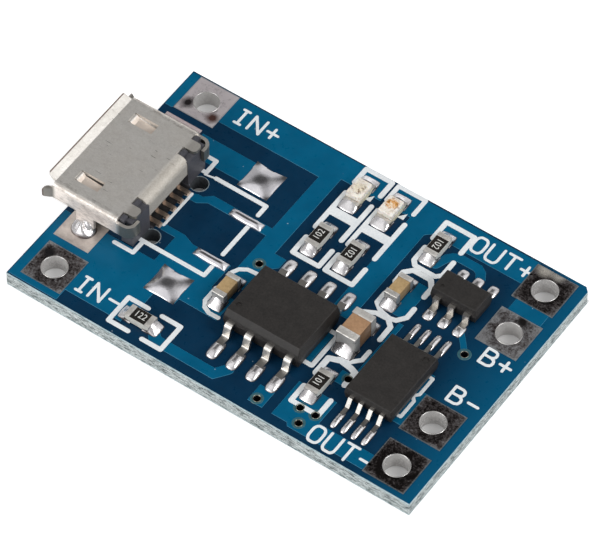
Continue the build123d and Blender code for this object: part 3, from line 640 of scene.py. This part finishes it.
for net, areas in AREAS.items():
    for index, outline in enumerate(areas):
        builder = bmesh.new()
        plate(builder, outline, FILM_FOOT, BOARD_TOP + COPPER_RISE, FILM_EDGE)
        punch(adopt(builder, f"copper_{net}_{index}", COPPER), keep_clear())

# Rings round the drilled holes and the terminals
RING_FOOT = BOARD_TOP - 0.02
builder, halo = bmesh.new(), bmesh.new()
for x, y in VIAS:
    ring(builder, x, y, VIA_RADIUS, VIA_RADIUS + 0.04, RING_FOOT, BOARD_TOP + 0.02)
    ring(halo, x, y, VIA_RADIUS + 0.04, VIA_RADIUS + 0.19, RING_FOOT, BOARD_TOP + 0.024)
adopt(builder, "via_rings", metal_look("via_ring_look", (176, 176, 160), (120, 120, 108), 0.3),
      40)
adopt(halo, "via_halos", ceramic_look("via_halo_look", (66, 108, 114), (40, 84, 98), 0.3), 40)
builder = bmesh.new()
for y in LOCATING_YS:
    ring(builder, LOCATING_X, y, 0.5, 0.555, RING_FOOT, BOARD_TOP + 0.015)
adopt(builder, "locating_rings", ceramic_look("bare_ring_look", (168, 178, 180), (92, 106, 112), 0.4),
      40)
builder = bmesh.new()
for name in TERMINALS:
    centre = middle(f"{name}_terminal")
    ring(builder, centre.x, centre.y, 0.7, 0.76, 1.02, 1.05, 48)
adopt(builder, "hole_rims", metal_look("hole_rim_look", (236, 234, 232), (190, 188, 186), 0.16, 5.0),
      50)

# Printed legend
PRINT = ceramic_look("print_look", (246, 248, 248), (218, 224, 228), 0.5, 9.0, 0.008)
# Each line: its width and its points. Frames stand open at the middle of each long side
LINES = [
    # Receptacle outline
    (0.26, [(-9.0, 4.07), (-8.27, 4.07), (-8.27, 3.12), (-8.8, 3.12)]),
    (0.26, [(-7.6, 3.1), (-4.28, 3.1), (-4.28, 2.35)]),
    (0.12, [(-8.25, 2.98), (-7.85, 3.04), (-7.55, 3.1)]), (0.26, [(-4.28, 1.38), (-4.28, -0.88)]),
    (0.26, [(-4.28, -1.9), (-4.28, -2.6), (-8.6, -2.6)]), (0.26, [(-9.5, -3.55), (-8.27, -3.55), (-8.27, -2.7)]),
    # LED and resistor frames
    (0.3, [(-1.34, 7.2), (-1.34, 8.33), (0.35, 8.33), (0.35, 7.2)]), (0.3, [(-1.34, 6.35), (-1.34, 5.0)]),
    (0.3, [(0.35, 6.35), (0.35, 5.0)]), (0.27, [(0.76, 7.2), (0.76, 8.35), (2.51, 8.35), (2.51, 7.2)]),
    (0.27, [(0.76, 6.35), (0.76, 5.0)]), (0.3, [(2.51, 6.35), (2.51, 5.0)]),
    (0.3, [(-1.34, 4.85), (-1.34, 3.52)]), (0.3, [(0.35, 4.85), (0.35, 3.52)]),
    (0.3, [(-1.34, 2.66), (-1.34, 1.41), (0.35, 1.41), (0.35, 2.66)]),
    (0.27, [(0.76, 4.85), (0.76, 3.52)]), (0.3, [(2.51, 4.85), (2.51, 3.52)]),
    (0.3, [(0.76, 2.66), (0.76, 1.41), (2.51, 1.41), (2.51, 2.66)]),
    # Sense resistor
    (0.3, [(4.25, 6.5), (4.25, 7.8), (6.05, 7.8), (6.05, 6.5)]),
    (0.3, [(4.25, 5.75), (4.25, 4.7), (4.5, 4.42), (5.8, 4.42), (6.08, 4.7), (6.08, 5.75)]),
    # Filter capacitor
    (0.32, [(4.25, 2.95), (4.25, 3.7), (4.62, 4.1), (5.75, 4.1), (6.1, 3.65), (6.1, 2.95)]),
    (0.3, [(4.25, 2.0), (4.25, 1.25), (4.75, 0.86), (5.35, 0.74)]),
    (0.3, [(6.12, 2.0), (6.12, 1.3), (5.75, 0.82), (5.3, 0.72)]),
    # Battery capacitor
    (0.3, [(3.95, 0.28), (4.6, 0.62), (5.35, 0.66), (5.76, 0.3), (5.78, -0.72)]),
    (0.28, [(5.78, -1.68), (5.78, -2.35), (5.3, -2.85), (4.7, -3.0)]),
    # Current-setting resistor
    (0.28, [(-5.4, -6.09), (-6.68, -6.09), (-6.68, -7.91), (-5.4, -7.91)]),
    (0.28, [(-4.5, -6.09), (-3.28, -6.09), (-3.28, -7.91), (-4.5, -7.91)]),
    # Input capacitor
    (0.26, [(-2.02, -0.9), (-2.6, -0.95), (-3.0, -1.2), (-3.2, -1.6)]),
    (0.26, [(-3.26, -2.9), (-3.26, -3.9), (-3.0, -4.3), (-2.6, -4.48), (-2.02, -4.46)]),
    # Chips
    (0.27, [(3.35, -1.74), (3.82, -1.74), (3.82, -4.16), (3.25, -4.16)]),
    (0.2, [(9.2, -1.22), (9.5, -1.22), (9.5, -2.45), (9.26, -2.72), (9.5, -2.98), (9.5, -4.2), (9.16, -4.2)]),
    # Contact row
    (0.17, [(-8.03, 1.5), (-8.03, -1.1)]),
]
# Filter resistor, printed over drilled holes
DRILLED_LINES = [
    (0.36, [(4.25, -4.4), (4.25, -3.25), (4.9, -3.02), (5.6, -3.12), (5.96, -3.25), (5.96, -4.2)]),
    (0.3, [(4.22, -5.45), (4.22, -6.62), (5.94, -6.62), (5.94, -5.45)]),
]
BARS = [(-1.49, 4.64, 0.5, 5.22), (0.63, 4.64, 2.66, 5.22)]
# Each sign: its letter, and its range across and up
SIGNS = [
    ("I", -9.19, -8.64, 6.78, 7.96), ("N", -8.36, -7.46, 6.8, 7.96), ("+", -7.3, -6.46, 6.96, 7.8),
    ("I", -9.41, -8.87, -7.36, -6.18), ("N", -8.62, -7.74, -7.34, -6.18), ("-", -7.52, -6.68, -6.86, -6.66),
    ("O", 6.12, 7.0, 6.9, 8.13), ("U", 7.1, 8.0, 6.9, 8.1), ("T", 8.14, 9.02, 6.94, 8.1),
    ("+", 9.18, 9.97, 7.07, 7.9),
    ("O", 6.13, 7.02, -8.26, -7.03), ("U", 7.14, 8.02, -8.26, -7.03), ("T", 8.18, 9.03, -8.26, -7.03),
    ("-", 9.24, 10.0, -7.72, -7.52),
    ("B", 10.7, 11.6, 1.04, 2.24), ("+", 11.76, 12.58, 1.2, 2.04),
    ("B", 10.7, 11.6, -1.98, -0.8), ("-", 11.8, 12.56, -1.5, -1.34),
]
LETTER_LINE = 0.165
LETTERS = {
    "I": [[(0.5, 0), (0.5, 1)], [(0, 0), (1, 0)], [(0, 1), (1, 1)]],
    "N": [[(0, 0), (0, 1)], [(0, 1), (1, 0)], [(1, 0), (1, 1)]],
    "O": [arc(0.36, 0.66, 0.34, 90, 180, 5) + arc(0.36, 0.34, 0.34, 180, 270, 5) + [(0.62, 0)],
          [(0.38, 1)] + arc(0.64, 0.66, 0.34, 90, 0, 5) + arc(0.64, 0.34, 0.34, 0, -90, 5)],
    "U": [[(0, 1)] + arc(0.3, 0.24, 0.3, 180, 270, 4) + arc(0.7, 0.24, 0.3, 270, 360, 4) + [(1, 1)]],
    "T": [[(0, 1), (1, 1)], [(0.5, 1), (0.5, 0)]],
    "B": [[(0, 0), (0, 1)], [(0, 1), (0.6, 1)] + arc(0.68, 0.77, 0.2, 60, -60, 4) + [(0.6, 0.53), (0, 0.53)],
          [(0, 0.53), (0.66, 0.53)] + arc(0.76, 0.27, 0.23, 60, -60, 4) + [(0.66, 0), (0, 0)]],
    "+": [[(0, 0.5), (1, 0.5)], [(0.5, 0), (0.5, 1)]],
    "-": [[(0, 0.5), (1, 0.5)]],
}


def runs(points):
    """The line in parts that have no sharp turn, as a plotter with a round tip draws them."""
    points = [Vector(p) for p in points]
    parts, part = [], [points[0]]
    for i, point in enumerate(points[1:], 1):
        part.append(point)
        if i + 1 < len(points) and (point - points[i - 1]).angle(points[i + 1] - point) > math.radians(35):
            parts.append(part)
            part = [point]
    return parts + [part]


def draw(builder, outline, index):
    """Printed shape; shapes that may cross lie at six heights, a little apart."""
    plate(builder, outline, FILM_FOOT, BOARD_TOP + PRINT_RISE + 0.0006 * (index % 6), FILM_EDGE)


def draw_lines(lines):
    builder = bmesh.new()
    outlines = [stroke(run, width) for width, points in lines for run in runs(points)]
    for index, outline in enumerate(outlines):
        draw(builder, outline, index)
    return builder


builder = draw_lines(LINES)
for bar in BARS:
    plate(builder, rectangle(*bar), FILM_FOOT, BOARD_TOP + PRINT_RISE + 0.005, FILM_EDGE)
# Arrows beside the diodes
for x, y in ((-0.12, 6.78), (2.03, 6.78)):
    draw(builder, [(x - 0.2, y - 0.22), (x + 0.22, y - 0.2), (x + 0.2, y + 0.26)], 3)
adopt(builder, "printed_frames", PRINT)
piece = adopt(draw_lines(DRILLED_LINES), "printed_drilled_frame", PRINT)
cutters = bmesh.new()
for x, y in VIAS:
    plate(cutters, circle(x, y, VIA_RADIUS + 0.05), CUT_FOOT, PRINT_CUT)
punch(piece, cutters, True)
builder = bmesh.new()
for letter, x0, x1, y0, y1 in SIGNS:
    inset = LETTER_LINE / 2
    wide, tall = x1 - x0 - 2 * inset, y1 - y0 - 2 * inset
    for index, points in enumerate(LETTERS[letter]):
        line = [(x0 + inset + px * wide, y0 + inset + py * tall) for px, py in points]
        draw(builder, stroke(line, LETTER_LINE), index)
adopt(builder, "printed_signs", PRINT)


# Blocks with their edges worn round
def soften(node, width, shortest, steps=2):
    """Stand-in for a CAD node, the same but with its edges rounded where they are longer than the shortest."""
    shape = bmesh.new()
    shape.from_mesh(frame["nodes"][node].data)
    bmesh.ops.remove_doubles(shape, verts=shape.verts, dist=1e-7)
    bmesh.ops.dissolve_limit(shape, angle_limit=math.radians(1), verts=shape.verts, edges=shape.edges)
    edges = [edge for edge in shape.edges if edge.is_manifold and edge.calc_length() > shortest * MM
             and edge.is_convex and edge.calc_face_angle() > math.radians(25)]
    bmesh.ops.bevel(shape, geom=edges, offset=width * MM, segments=steps, profile=0.5, affect="EDGES",
                    clamp_overlap=True)
    bmesh.ops.dissolve_degenerate(shape, dist=1e-7, edges=shape.edges)
    bmesh.ops.triangulate(shape, faces=[face for face in shape.faces if len(face.verts) > 4])
    mesh = bpy.data.meshes.new(f"{node}_soft")
    shape.to_mesh(mesh)
    shape.free()
    mesh.materials.append(LOOKS[SLOT_OF[node]].material)
    smooth_out(mesh, 28)
    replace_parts(settle(mesh, mesh.name), node)


# Less than half of the plating, so that its thin rims keep a face
END_ROUND = 0.013
for part in ("charge_led_resistor", "standby_led_resistor", "sense_resistor", "filter_resistor",
             "current_set_resistor"):
    soften(f"{part}_ends", END_ROUND, 0.15)
for part, width in (("input_capacitor", 0.056), ("filter_capacitor", 0.056), ("battery_capacitor", 0.072)):
    soften(f"{part}_ends", END_ROUND, 0.15)
    soften(f"{part}_ceramic", width, 0.15)
for part in ("charge_led", "standby_led"):
    soften(f"{part}_lens", 0.07, 0.2, 3)

# Moulded chips: half-length, half-width, height, chamfer along one side, place and radius of the pin mark
for chip, length, width, height, chamfer, (mark_x, mark_y, radius) in (
        ("charger_chip", 2.45, 1.925, 1.45, (0.27, 0.38), (-1.95, -1.12, 0.17)),
        ("switch_chip", 1.5, 2.2, 0.9, None, (1.0, 1.7, 0.2)),
        ("protection_chip", 1.45, 0.8, 1.05, None, (-0.98, -0.34, 0.12))):
    low, high = box_of(f"{chip}_body")
    x, y, foot, top = (low.x + high.x) / 2, (low.y + high.y) / 2, low.z, high.z
    draft = height / 2 * math.tan(math.radians(8))
    corners = [(sx * (length - inset), sy * (width - inset), z) for sx in (-1, 1) for sy in (-1, 1)
               for inset, z in ((draft, foot), (0, (foot + top) / 2), (draft, top))]
    if chamfer:
        across, down = chamfer
        corners = [c for c in corners if not (c[1] < 0 and c[2] == top)]
        corners += [(sx * (length - draft), -width + across, top) for sx in (-1, 1)]
        slope = draft * (1 - down / (height / 2))
        corners += [(sx * (length - slope), -width + slope, top - down) for sx in (-1, 1)]
    builder = bmesh.new()
    for cx, cy, cz in corners:
        builder.verts.new((x + cx, y + cy, cz))
    bmesh.ops.convex_hull(builder, input=builder.verts)
    bmesh.ops.dissolve_limit(builder, angle_limit=math.radians(1), verts=builder.verts, edges=builder.edges)
    bmesh.ops.bevel(builder, geom=list(builder.edges), offset=0.035, segments=2, profile=0.5, affect="EDGES",
                    clamp_overlap=True)
    piece = adopt(builder, f"{chip}_moulding", LOOKS["chip_moulding"])
    cutter = bmesh.new()
    plate(cutter, circle(x + mark_x, y + mark_y, radius), top - 0.05, top + 0.1)
    punch(piece, cutter)
    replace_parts(piece, f"{chip}_body")

# Far margin of the land under the receptacle
builder = bmesh.new()
plate(builder, rectangle(-12.5, 5.1, -10.15, 5.36), FILM_FOOT, BOARD_TOP + 0.028, 0.01)
adopt(builder, "land_margin", ceramic_look("land_margin_look", (206, 192, 192), (158, 142, 146)))


# Solder, drawn as it sets: rounded toes on the leads, hollow slopes on the small parts
def sheet(builder, rows):
    """Closed skin over a grid of points, with straight sides down to the board."""
    top = [[builder.verts.new(p) for p in row] for row in rows]
    for one, two in zip(top, top[1:]):
        for i in range(len(one) - 1):
            builder.faces.new((one[i], one[i + 1], two[i + 1], two[i]))
    rim = top[0] + [row[-1] for row in top[1:]] + top[-1][-2::-1] + [row[0] for row in top[-2:0:-1]]
    foot = [builder.verts.new((v.co.x, v.co.y, BOARD_TOP)) for v in rim]
    for i in range(len(rim)):
        j = (i + 1) % len(rim)
        builder.faces.new((rim[i], foot[i], foot[j], rim[j]))
    builder.faces.new(foot)


def blob(builder, place, half_x, half_y, height, power, lean, steps=20, rings=7, steep=2.0, low=-0.03, lumps=0.0):
    """Drop of solder on a rounded land; lean shifts its top along Y, lumps make it uneven."""
    turns = [2 * math.pi * i / steps for i in range(steps)]

    def outline(turn):
        c, n = math.cos(turn), math.sin(turn)
        return (math.copysign(abs(c) ** (2 / power), c) * half_x, math.copysign(abs(n) ** (2 / power), n) * half_y)
    levels = [[(*outline(turn), low) for turn in turns]]
    for k in range(rings):
        reach = 1 - k / rings
        level = []
        for turn in turns:
            x, y = outline(turn)
            rise = height * (1 - reach ** steep) ** 0.75
            rise *= 1 + lumps * math.sin(3 * turn + 0.6 + 4 * reach) * reach
            level.append((x * reach, y * reach + lean * half_y * (1 - reach ** 2), rise))
        levels.append(level)
    levels = [[builder.verts.new(place(*p)) for p in level] for level in levels]
    for one, two in zip(levels, levels[1:]):
        for i in range(steps):
            j = (i + 1) % steps
            builder.faces.new((one[i], one[j], two[j], two[i]))
    crown = builder.verts.new(place(0, lean * half_y, height))
    for i in range(steps):
        builder.faces.new((levels[-1][i], levels[-1][(i + 1) % steps], crown))
    builder.faces.new(list(reversed(levels[0])))


def at(x, y, turn=0.0, flip=1):
    """Placing on the land plane: turned about Z, and mirrored along Y where flip is -1."""
    c, n = math.cos(math.radians(turn)), math.sin(math.radians(turn))

    def put(px, py, pz):
        py *= flip
        return (x + c * px - n * py, y + n * px + c * py, LAND_TOP + pz)
    return put


# Chips: how many leads a side, pitch, middle and half-length of the joint, half-width, height
for chip, count, pitch, reach, half_length, half_width, height in (
        ("charger_chip", 4, 1.27, 3.27, 0.67, 0.35, 0.22), ("switch_chip", 4, 0.65, 3.48, 0.62, 0.19, 0.14),
        ("protection_chip", 3, 0.95, 1.56, 0.43, 0.3, 0.14)):
    centre = middle(f"{chip}_body")
    builder = bmesh.new()
    for index in range(count):
        for flip in (-1, 1):
            x = centre.x + (index - (count - 1) / 2) * pitch
            blob(builder, at(x, centre.y + flip * reach, 0, flip), half_width, half_length, height, 3.4, -0.05)
    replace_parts(adopt(builder, f"{chip}_joints", LOOKS["solder"], 180), f"{chip}_solder")

# Small parts: length, width, height of the metal, turn
SMALL = [(f"{name}_resistor", 1.6, 0.82, 0.47, turn) for name, turn in (
    ("charge_led", 90), ("standby_led", 90), ("sense", 90), ("filter", 90), ("current_set", 0))]
SMALL += [("input_capacitor", 1.65, 0.82, 0.62, 90), ("filter_capacitor", 1.65, 0.82, 0.62, 90),
          ("battery_capacitor", 2.0, 1.25, 0.95, 90), ("charge_led", 1.75, 0.96, 0.3, 90),
          ("standby_led", 1.75, 0.96, 0.3, 90)]
builder = bmesh.new()
for name, length, width, height, turn in SMALL:
    centre = middle(f"{name}_ends")
    for way in (0, 180):
        place = at(centre.x, centre.y, turn + way)
        half = width / 2 + 0.07
        crest = min(0.9 * height, 0.2 + 0.4 * height)
        rows = []
        for i in range(10):
            u = i / 9
            row = []
            for j in range(11):
                v = 2 * j / 10 - 1
                side = half * (1 - 0.12 * u ** 3)
                slope = (1 - u) ** 1.45 * (1 - 0.72 * abs(v) ** 1.8) * crest
                rim = 0.07 * (1 - max(u, abs(v)) ** 6)
                row.append(place(length / 2 - 0.03 + 0.52 * u * (1 - 0.1 * v * v), v * side, slope + rim))
            rows.append(row)
        sheet(builder, rows)
        # Narrow fillets along both flanks
        for side in (-1, 1):
            rows = []
            for i in range(6):
                u = i / 5
                rows.append([place(length / 2 - 0.4 + 0.4 * u, side * (width / 2 - 0.01 + 0.08 * j / 3),
                                   (0.14 + 0.3 * u ** 2 * height) * (1 - j / 3) ** 1.5) for j in range(4)])
            sheet(builder, rows)
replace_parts(adopt(builder, "small_part_joints", LOOKS["solder"], 60), "small_part_solder")

# Spare lands: pillow-shaped mounds and long ridges
RIDGE_STEPS = [math.sin(math.radians(-90 + 15 * j)) for j in range(13)]
builder = bmesh.new()
for side in (-1, 1):
    place = at(-5.46, 0.11 + side * 4.27)
    rows = []
    for i in range(25):
        a = 2 * i / 24 - 1
        row = []
        for j in range(25):
            b = 2 * j / 24 - 1
            pinch_x, pinch_y = 1 - 0.03 * (1 - b * b), 1 - (0.1 if b > 0 else 0.02) * (1 - a * a)
            p, q = a + 0.06 * (1 - a * a), b + 0.1 * (1 - b * b)
            rise = 0.22 * (1 - p * p) * (1 - q * q)
            row.append(place(0.98 * a * pinch_x, 0.98 * b * pinch_y, max(0.0, rise)))
        rows.append(row)
    sheet(builder, rows)
    place = at(-4.6, USB_Y + side * 1.63)
    rows = []
    for i in range(29):
        a = 2 * i / 28 - 1
        rows.append([place(a * (1.05 - 0.01 * b), 0.29 * b * (1 - 0.12 * a * a) + 0.04 * a * a,
                           0.21 * math.sqrt(max(0.0, 1 - b * b)) * (1 - abs(a) ** 6)) for b in RIDGE_STEPS])
    sheet(builder, rows)
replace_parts(adopt(builder, "spare_mounds", LOOKS["spare_solder"], 70), "spare_land_solder")

# Joints of the receptacle's front legs
builder = bmesh.new()
for side in (-1, 1):
    blob(builder, at(-11.355, USB_Y + side * 3.86, 0, side), 0.73, 0.66, 0.6, 2.1, -0.2, 40, 12, 1.6, -0.01, 0.35)
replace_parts(adopt(builder, "leg_joints", LOOKS["bright_solder"], 180), "usb_leg_solder")

# Plain numbers on the resistors
NUMBERS = ceramic_look("number_look", (232, 232, 228), (200, 200, 196))


def number(node, words, turn):
    """Print flat on the top of a node."""
    curve = bpy.data.curves.new(f"number_{node}", "FONT")
    curve.body = words
    curve.align_x = curve.align_y = "CENTER"
    curve.size = 0.57 * MM
    curve.extrude = 0.004 * MM
    curve.space_character = 1.05
    source = bpy.data.objects.new(curve.name, curve)
    bpy.context.scene.collection.objects.link(source)
    mesh = bpy.data.meshes.new_from_object(source.evaluated_get(bpy.context.evaluated_depsgraph_get()))
    bpy.data.objects.remove(source)
    bpy.data.curves.remove(curve)
    low, high = (Vector(corner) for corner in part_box(node))
    centre = (low + high) / 2
    mesh.transform(Matrix.Translation((centre.x, centre.y, high.z + 0.003 * MM))
                   @ Matrix.Rotation(math.radians(turn), 4, "Z") @ Matrix.Diagonal((0.82, 1.0, 1.0, 1.0)))
    mesh.materials.clear()
    mesh.materials.append(NUMBERS.material)
    settle(mesh, f"number_{node}")


number("charge_led_resistor_glaze", "102", 90)
number("standby_led_resistor_glaze", "102", -90)
number("sense_resistor_glaze", "102", -90)
number("filter_resistor_glaze", "101", 90)
number("current_set_resistor_glaze", "122", 0)

# Floor: glows where the camera or a glossy face sees it, with a painted shadow under the board that is deeper under
# the locating holes and the output end
FLOOR_HALF = 1.2
floor_mesh = bpy.data.meshes.new("floor")
floor_mesh.from_pydata([(x, y, 0) for x, y in rectangle(-FLOOR_HALF, -FLOOR_HALF, FLOOR_HALF, FLOOR_HALF)], [],
                       [(0, 1, 2, 3)])
floor = bpy.data.objects.new("floor", floor_mesh)
floor.location.z = -0.00002
bpy.context.scene.collection.objects.link(floor)
look = Look("floor_look", Roughness=0.9, Base_Color=(0.86, 0.86, 0.86, 1), Specular_IOR_Level=0.1,
            Emission_Color=(1, 1, 1, 1))
rays = look.node("ShaderNodeLightPath")
seen = look.most(rays.outputs["Is Camera Ray"], rays.outputs["Is Glossy Ray"])
east = look.axis("X")
painted_board_shadow = look.times(look.under(look.size(east), 13.0), look.under(look.size(look.axis("Y")), 8.5))
locating = look.under(look.size(look.plus(east, 8.4)), 1.4)
output_end = look.over(east, 9.0)
shade = look.plus(look.times(locating, 0.17), look.times(output_end, 0.14))
painted_board_shadow = look.plus(painted_board_shadow, look.times(painted_board_shadow, shade))
look.set("Emission Strength", look.times(seen, look.minus(0.5, look.times(painted_board_shadow, 0.42))))
floor_mesh.materials.append(look.material)

# Surroundings
world = bpy.data.worlds.new("studio")
bpy.context.scene.world = world
sky = Nodes(world)
direction = sky.node("ShaderNodeTexCoord").outputs["Generated"]


def glow(base, toward, inner, outer, value):
    """Paint a soft round patch of the given brightness on the surroundings."""
    near = sky.vector("DOT_PRODUCT", direction, Vector(toward).normalized(), "Value")
    patch = sky.span(near, math.cos(math.radians(outer)), math.cos(math.radians(inner)), "SMOOTHSTEP")
    return sky.mix(patch, base, value)


# Grey room: dim below, bright panels to the right, in front, at the back and overhead, a dark hood high on the left
light = glow(0.5, (0, 0, -1), 80, 100, 0.7)
light = glow(light, (0.62, 0.42, 0.66), 16, 36, 0.95)
light = glow(light, (-0.25, -0.9, 0.2), 22, 46, 1.35)
light = glow(light, (-0.25, 0.92, 0.2), 16, 34, 0.75)
light = glow(light, (-0.3, -0.25, 0.92), 14, 30, 1.0)
light = glow(light, (-0.35, 0.5, 0.8), 10, 27, 0.03)
sky.link(light, sky.tree.nodes["Background"].inputs["Color"])


def lamp(name, toward, distance, size, power):
    """Square softbox that points at the object."""
    data = bpy.data.lights.new(name, "AREA")
    data.shape = "SQUARE"
    data.size = size
    data.energy = power
    thing = bpy.data.objects.new(name, data)
    toward = Vector(toward).normalized()
    thing.location = toward * distance
    thing.rotation_euler = toward.to_track_quat("Z", "Y").to_euler()
    bpy.context.scene.collection.objects.link(thing)


lamp("key", (0.75, 0.12, 0.65), 0.4, 0.2, 0.55)
lamp("fill", (-0.45, -0.8, 0.42), 0.45, 0.2, 0.4)

# Camera, fitted to the photo: focal length and width in pixels, place in millimetres
FOCAL_PIXELS, PHOTO_WIDTH, SENSOR = 5150.9, 597, 36.0
AZIMUTH, ELEVATION, ROLL = math.radians(35.08), math.radians(52.76), math.radians(0.14)
camera = bpy.data.cameras.new("camera")
camera.sensor_width = SENSOR
camera.lens = FOCAL_PIXELS / PHOTO_WIDTH * SENSOR
camera.clip_start, camera.clip_end = 0.01, 10
view = bpy.data.objects.new("camera", camera)
bpy.context.scene.collection.objects.link(view)
bpy.context.scene.camera = view
backwards = Vector((math.sin(AZIMUTH) * math.cos(ELEVATION), -math.cos(AZIMUTH) * math.cos(ELEVATION),
                    math.sin(ELEVATION)))
view.location = Vector((95.19, -135.50, 218.95)) * MM
view.rotation_euler = (backwards.to_track_quat("Z", "Y").to_matrix() @ Matrix.Rotation(ROLL, 3, "Z")).to_euler()

bpy.context.scene.view_settings.view_transform = "Standard"
